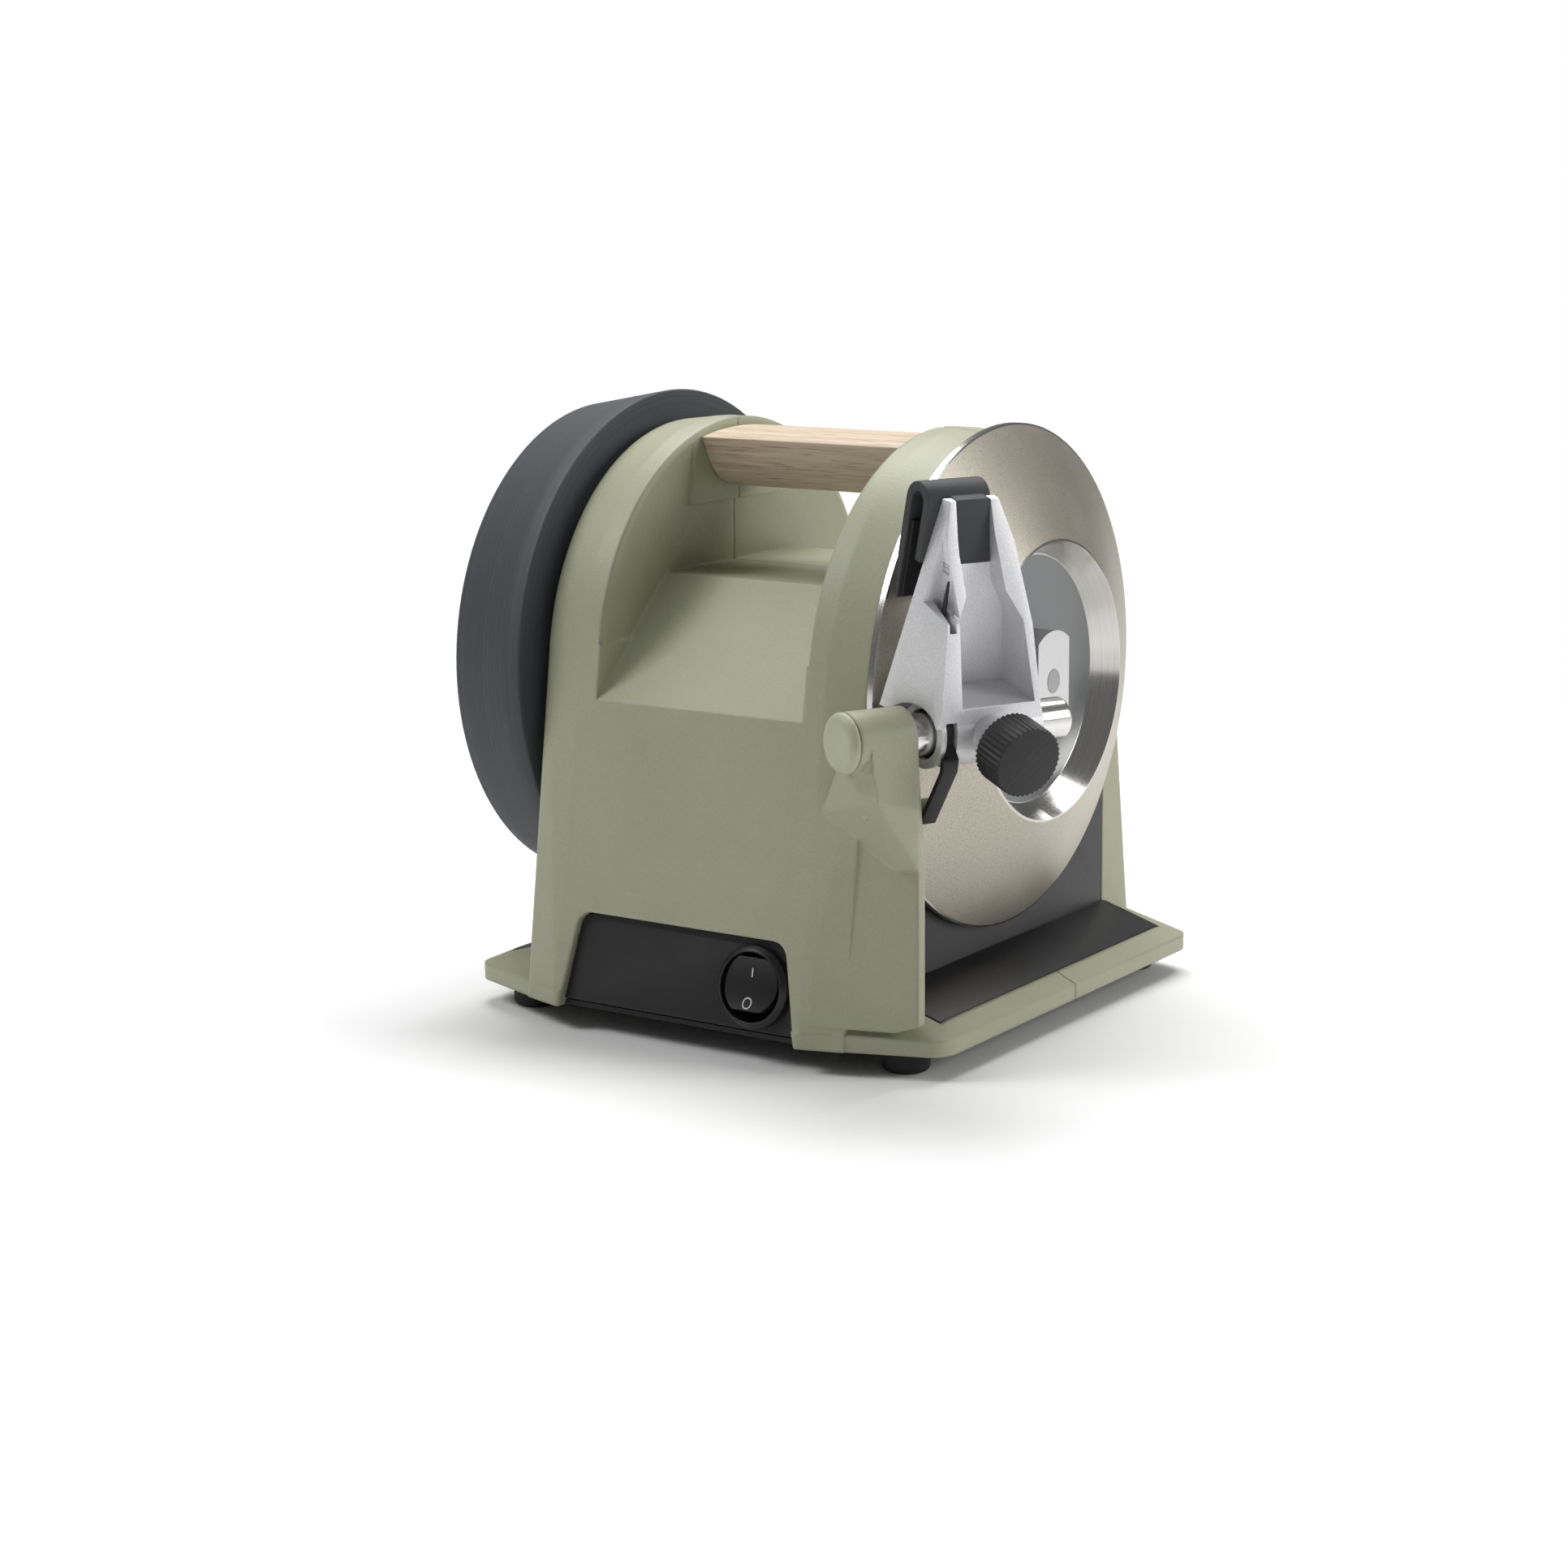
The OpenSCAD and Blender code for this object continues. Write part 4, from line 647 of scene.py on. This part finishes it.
# %% [markdown]
# ## The angle scale
# The scale is printed on the slanted floor of a pocket in the guide's left leg. The numbers read downwards,
# with their tops to the right. A row of ticks stands below them, and its first, middle and last tick are
# longer.
# %% Numbers of the scale
floor_facing_u, floor_facing_w = -0.985, -0.17
floor_facing = (along_bar * floor_facing_u + guide_rising * floor_facing_w).normalized()
reading = (guide_rising * -1 + floor_facing * guide_rising.dot(floor_facing)).normalized()
letter_top = floor_facing.cross(reading)
number_size = 1.25 * MM
number_stretch = 1.5
number_u, number_w = 28.4, 47.4
number_v = {"20": -6.9, "15": -5.8, "10": -4.7}
for number, v in number_v.items():
    piece = flat_text("scale_" + number, number, number_size)
    for vertex in piece.data.vertices:
        vertex.co.x *= number_stretch
    middle = on_guide(number_u, v, number_w)
    printed(piece, "guide_body", middle, reading, letter_top, black_ink)

# %% Ticks of the scale
tick_count = 11
tick_step = 0.3 * MM
tick_length = 1.0 * MM
tick_width = 0.1 * MM
longer_each = 5
longer_by = 0.5 * MM
tick_u, tick_w = 29, 45.4
ticks_at = on_guide(tick_u, number_v["15"], tick_w)
ticks = flat_stroke("scale_ticks", tick_length, tick_width)
repeat = ticks.modifiers.new("row of ticks", "ARRAY")
repeat.count = tick_count
repeat.use_relative_offset = False
repeat.use_constant_offset = True
repeat.constant_offset_displace = (0, tick_step, 0)
bpy.ops.object.modifier_apply(modifier=repeat.name)
for vertex in ticks.data.vertices:
    step = round(vertex.co.y / tick_step)
    if step % longer_each == 0 and vertex.co.x < 0:
        vertex.co.x -= longer_by
    vertex.co.y -= tick_step * (tick_count - 1) / 2
printed(ticks, "guide_body", ticks_at, reading, letter_top, black_ink)

# %% [markdown]
# ## The switch's line and circle
# The line stands in the rocker's upper half and the ring in its lower half. Both fall straight onto its
# hollow face.
# %% Line and circle
level = Vector((1, 0, 0))
plumb = Vector((0, 0, 1))
mark_height = 4.2 * MM
line_width = 0.4 * MM
line_height = 2.6 * MM
rocker_front = middle_of("switch_rocker")
rocker_front.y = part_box("switch_rocker")[0].y
on_line = flat_stroke("switch_line", line_width, line_height, cuts=3)
printed(on_line, "switch_rocker", rocker_front + plumb * mark_height, level, plumb, white_ink)

ring_radius = 1.55 * MM
ring_stroke = 0.35 * MM
ring_points = 48
bpy.ops.object.select_all(action="DESELECT")
bpy.ops.mesh.primitive_circle_add(
    vertices=ring_points, radius=ring_radius, fill_type="NGON", location=(0, 0, 0))
off_ring = bpy.context.object
off_ring.name = "switch_circle"
bpy.ops.object.mode_set(mode="EDIT")
bpy.ops.mesh.inset(thickness=ring_stroke)
bpy.ops.mesh.delete(type="FACE")
bpy.ops.object.mode_set(mode="OBJECT")
printed(off_ring, "switch_rocker", rocker_front - plumb * mark_height, level, plumb, white_ink)

# %% [markdown]
# ## Stage and light
# The machine stands on a pale floor that fades into plain white further out. The world gives a weak even
# light. A wide lamp above and behind throws the soft shadow to the front, a second one at the front left
# lights the casing, and a third one on the right, towards the back, lights the diamond wheel's cone.
# %% Floor
floor_size = 9
fade_starts, fade_ends = 0.22, 0.62
plain_white = (1.0, 1.0, 1.0, 1.0)
paper_white = (0.93, 0.93, 0.93, 1.0)


def studio_white():
    """Matt paper near the machine, and plain white further out for the camera and for reflections."""
    white = Finish("studio_white", Roughness=0.9, Base_Color=paper_white)
    x, y = white.axes()[:2]
    fade = ((x * x + y * y) ** 0.5).ramp(fade_starts, fade_ends)
    seen = white.seen_by("Is Camera Ray").math("MAXIMUM", white.seen_by("Is Glossy Ray"))
    glow = white.node("ShaderNodeEmission", values={"Color": plain_white, "Strength": 1.0})
    paper = Wire(white, white.shader.outputs[0])
    surface = white.tree.nodes["Material Output"].inputs["Surface"]
    white.feed(surface, white.layered(fade * seen, paper, glow))
    return white.material


bpy.ops.mesh.primitive_plane_add(size=floor_size, location=(0, 0, 0))
floor = bpy.context.object
floor.name = "studio_floor"
floor.data.materials.append(studio_white())
floor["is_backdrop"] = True
print("floor", floor.name)

# %% World
even_light = 0.17
world = bpy.data.worlds.new("studio")
bpy.context.scene.world = world
world.use_nodes = True
sky = Web(world.node_tree)
dim = sky.tree.nodes["Background"]
sky.feed(dim.inputs["Color"], plain_white)
sky.feed(dim.inputs["Strength"], even_light)
bright = sky.node("ShaderNodeBackground", values={"Color": plain_white, "Strength": 1.0})
shown = sky.layered(sky.seen_by("Is Camera Ray"), Wire(sky, dim.outputs[0]), bright)
sky.feed(sky.tree.nodes["World Output"].inputs["Surface"], shown)
print("world", world.name)

# %% Lamps
lamp_target = Vector((0, 0, 0.09))


def soft_lamp(name, place, size, power):
    """The place and size are in metres, and the power in watts."""
    light = bpy.data.lights.new(name, "AREA")
    light.shape = "RECTANGLE"
    light.size, light.size_y = size
    light.energy = power
    lamp = bpy.data.objects.new(name, light)
    lamp.location = place
    lamp.rotation_euler = (Vector(place) - lamp_target).to_track_quat("Z", "Y").to_euler()
    bpy.context.scene.collection.objects.link(lamp)
    print("lamp", name, power, "W")


soft_lamp("overhead", place=(-0.15, 0.45, 1.1), size=(1.1, 0.6), power=16)
soft_lamp("front_left", place=(-0.9, -0.75, 1.25), size=(0.6, 0.6), power=11)
soft_lamp("right_back", place=(1.15, 0.42, 0.5), size=(0.5, 0.5), power=6)

# %% [markdown]
# ## Camera
# The place, turn and lens were solved from the rims of the two wheels, the arches and the base in the
# photograph.
# %% Camera
camera_place = Vector((531.9, -819.3, 263.0)) * MM
yaw, tilt, roll = math.radians(33.98), math.radians(11.51), math.radians(-0.46)
sensor_width, focal_length = 36, 73.9
back = Vector((math.sin(yaw) * math.cos(tilt), -math.cos(yaw) * math.cos(tilt), math.sin(tilt)))
level_right = Vector((math.cos(yaw), math.sin(yaw), 0))
level_up = back.cross(level_right)
right = level_right * math.cos(roll) + level_up * math.sin(roll)
up = level_up * math.cos(roll) - level_right * math.sin(roll)
lens = bpy.data.cameras.new("camera")
lens.sensor_width = sensor_width
lens.lens = focal_length
camera = bpy.data.objects.new("camera", lens)
bpy.context.scene.collection.objects.link(camera)
turn = Matrix((right, up, back)).transposed().to_4x4()
camera.matrix_world = Matrix.Translation(camera_place) @ turn
bpy.context.scene.camera = camera
bpy.context.scene.view_settings.view_transform = "Standard"
print("camera", [round(v, 3) for v in camera.location])

# %% [markdown]
# ## The sizes
# The size of the plain model's box and the size of the dressed model's box are printed one after the other.
# The dressed model must stay in the box of the plain one.
# %% Sizes
low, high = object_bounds()
sizes = {"cad": [list(cad_low), list(cad_high)], "visual": [list(low), list(high)]}
for name, (lowest, highest) in sizes.items():
    print(name, "size", [round(end - start, 4) for start, end in zip(lowest, highest)])
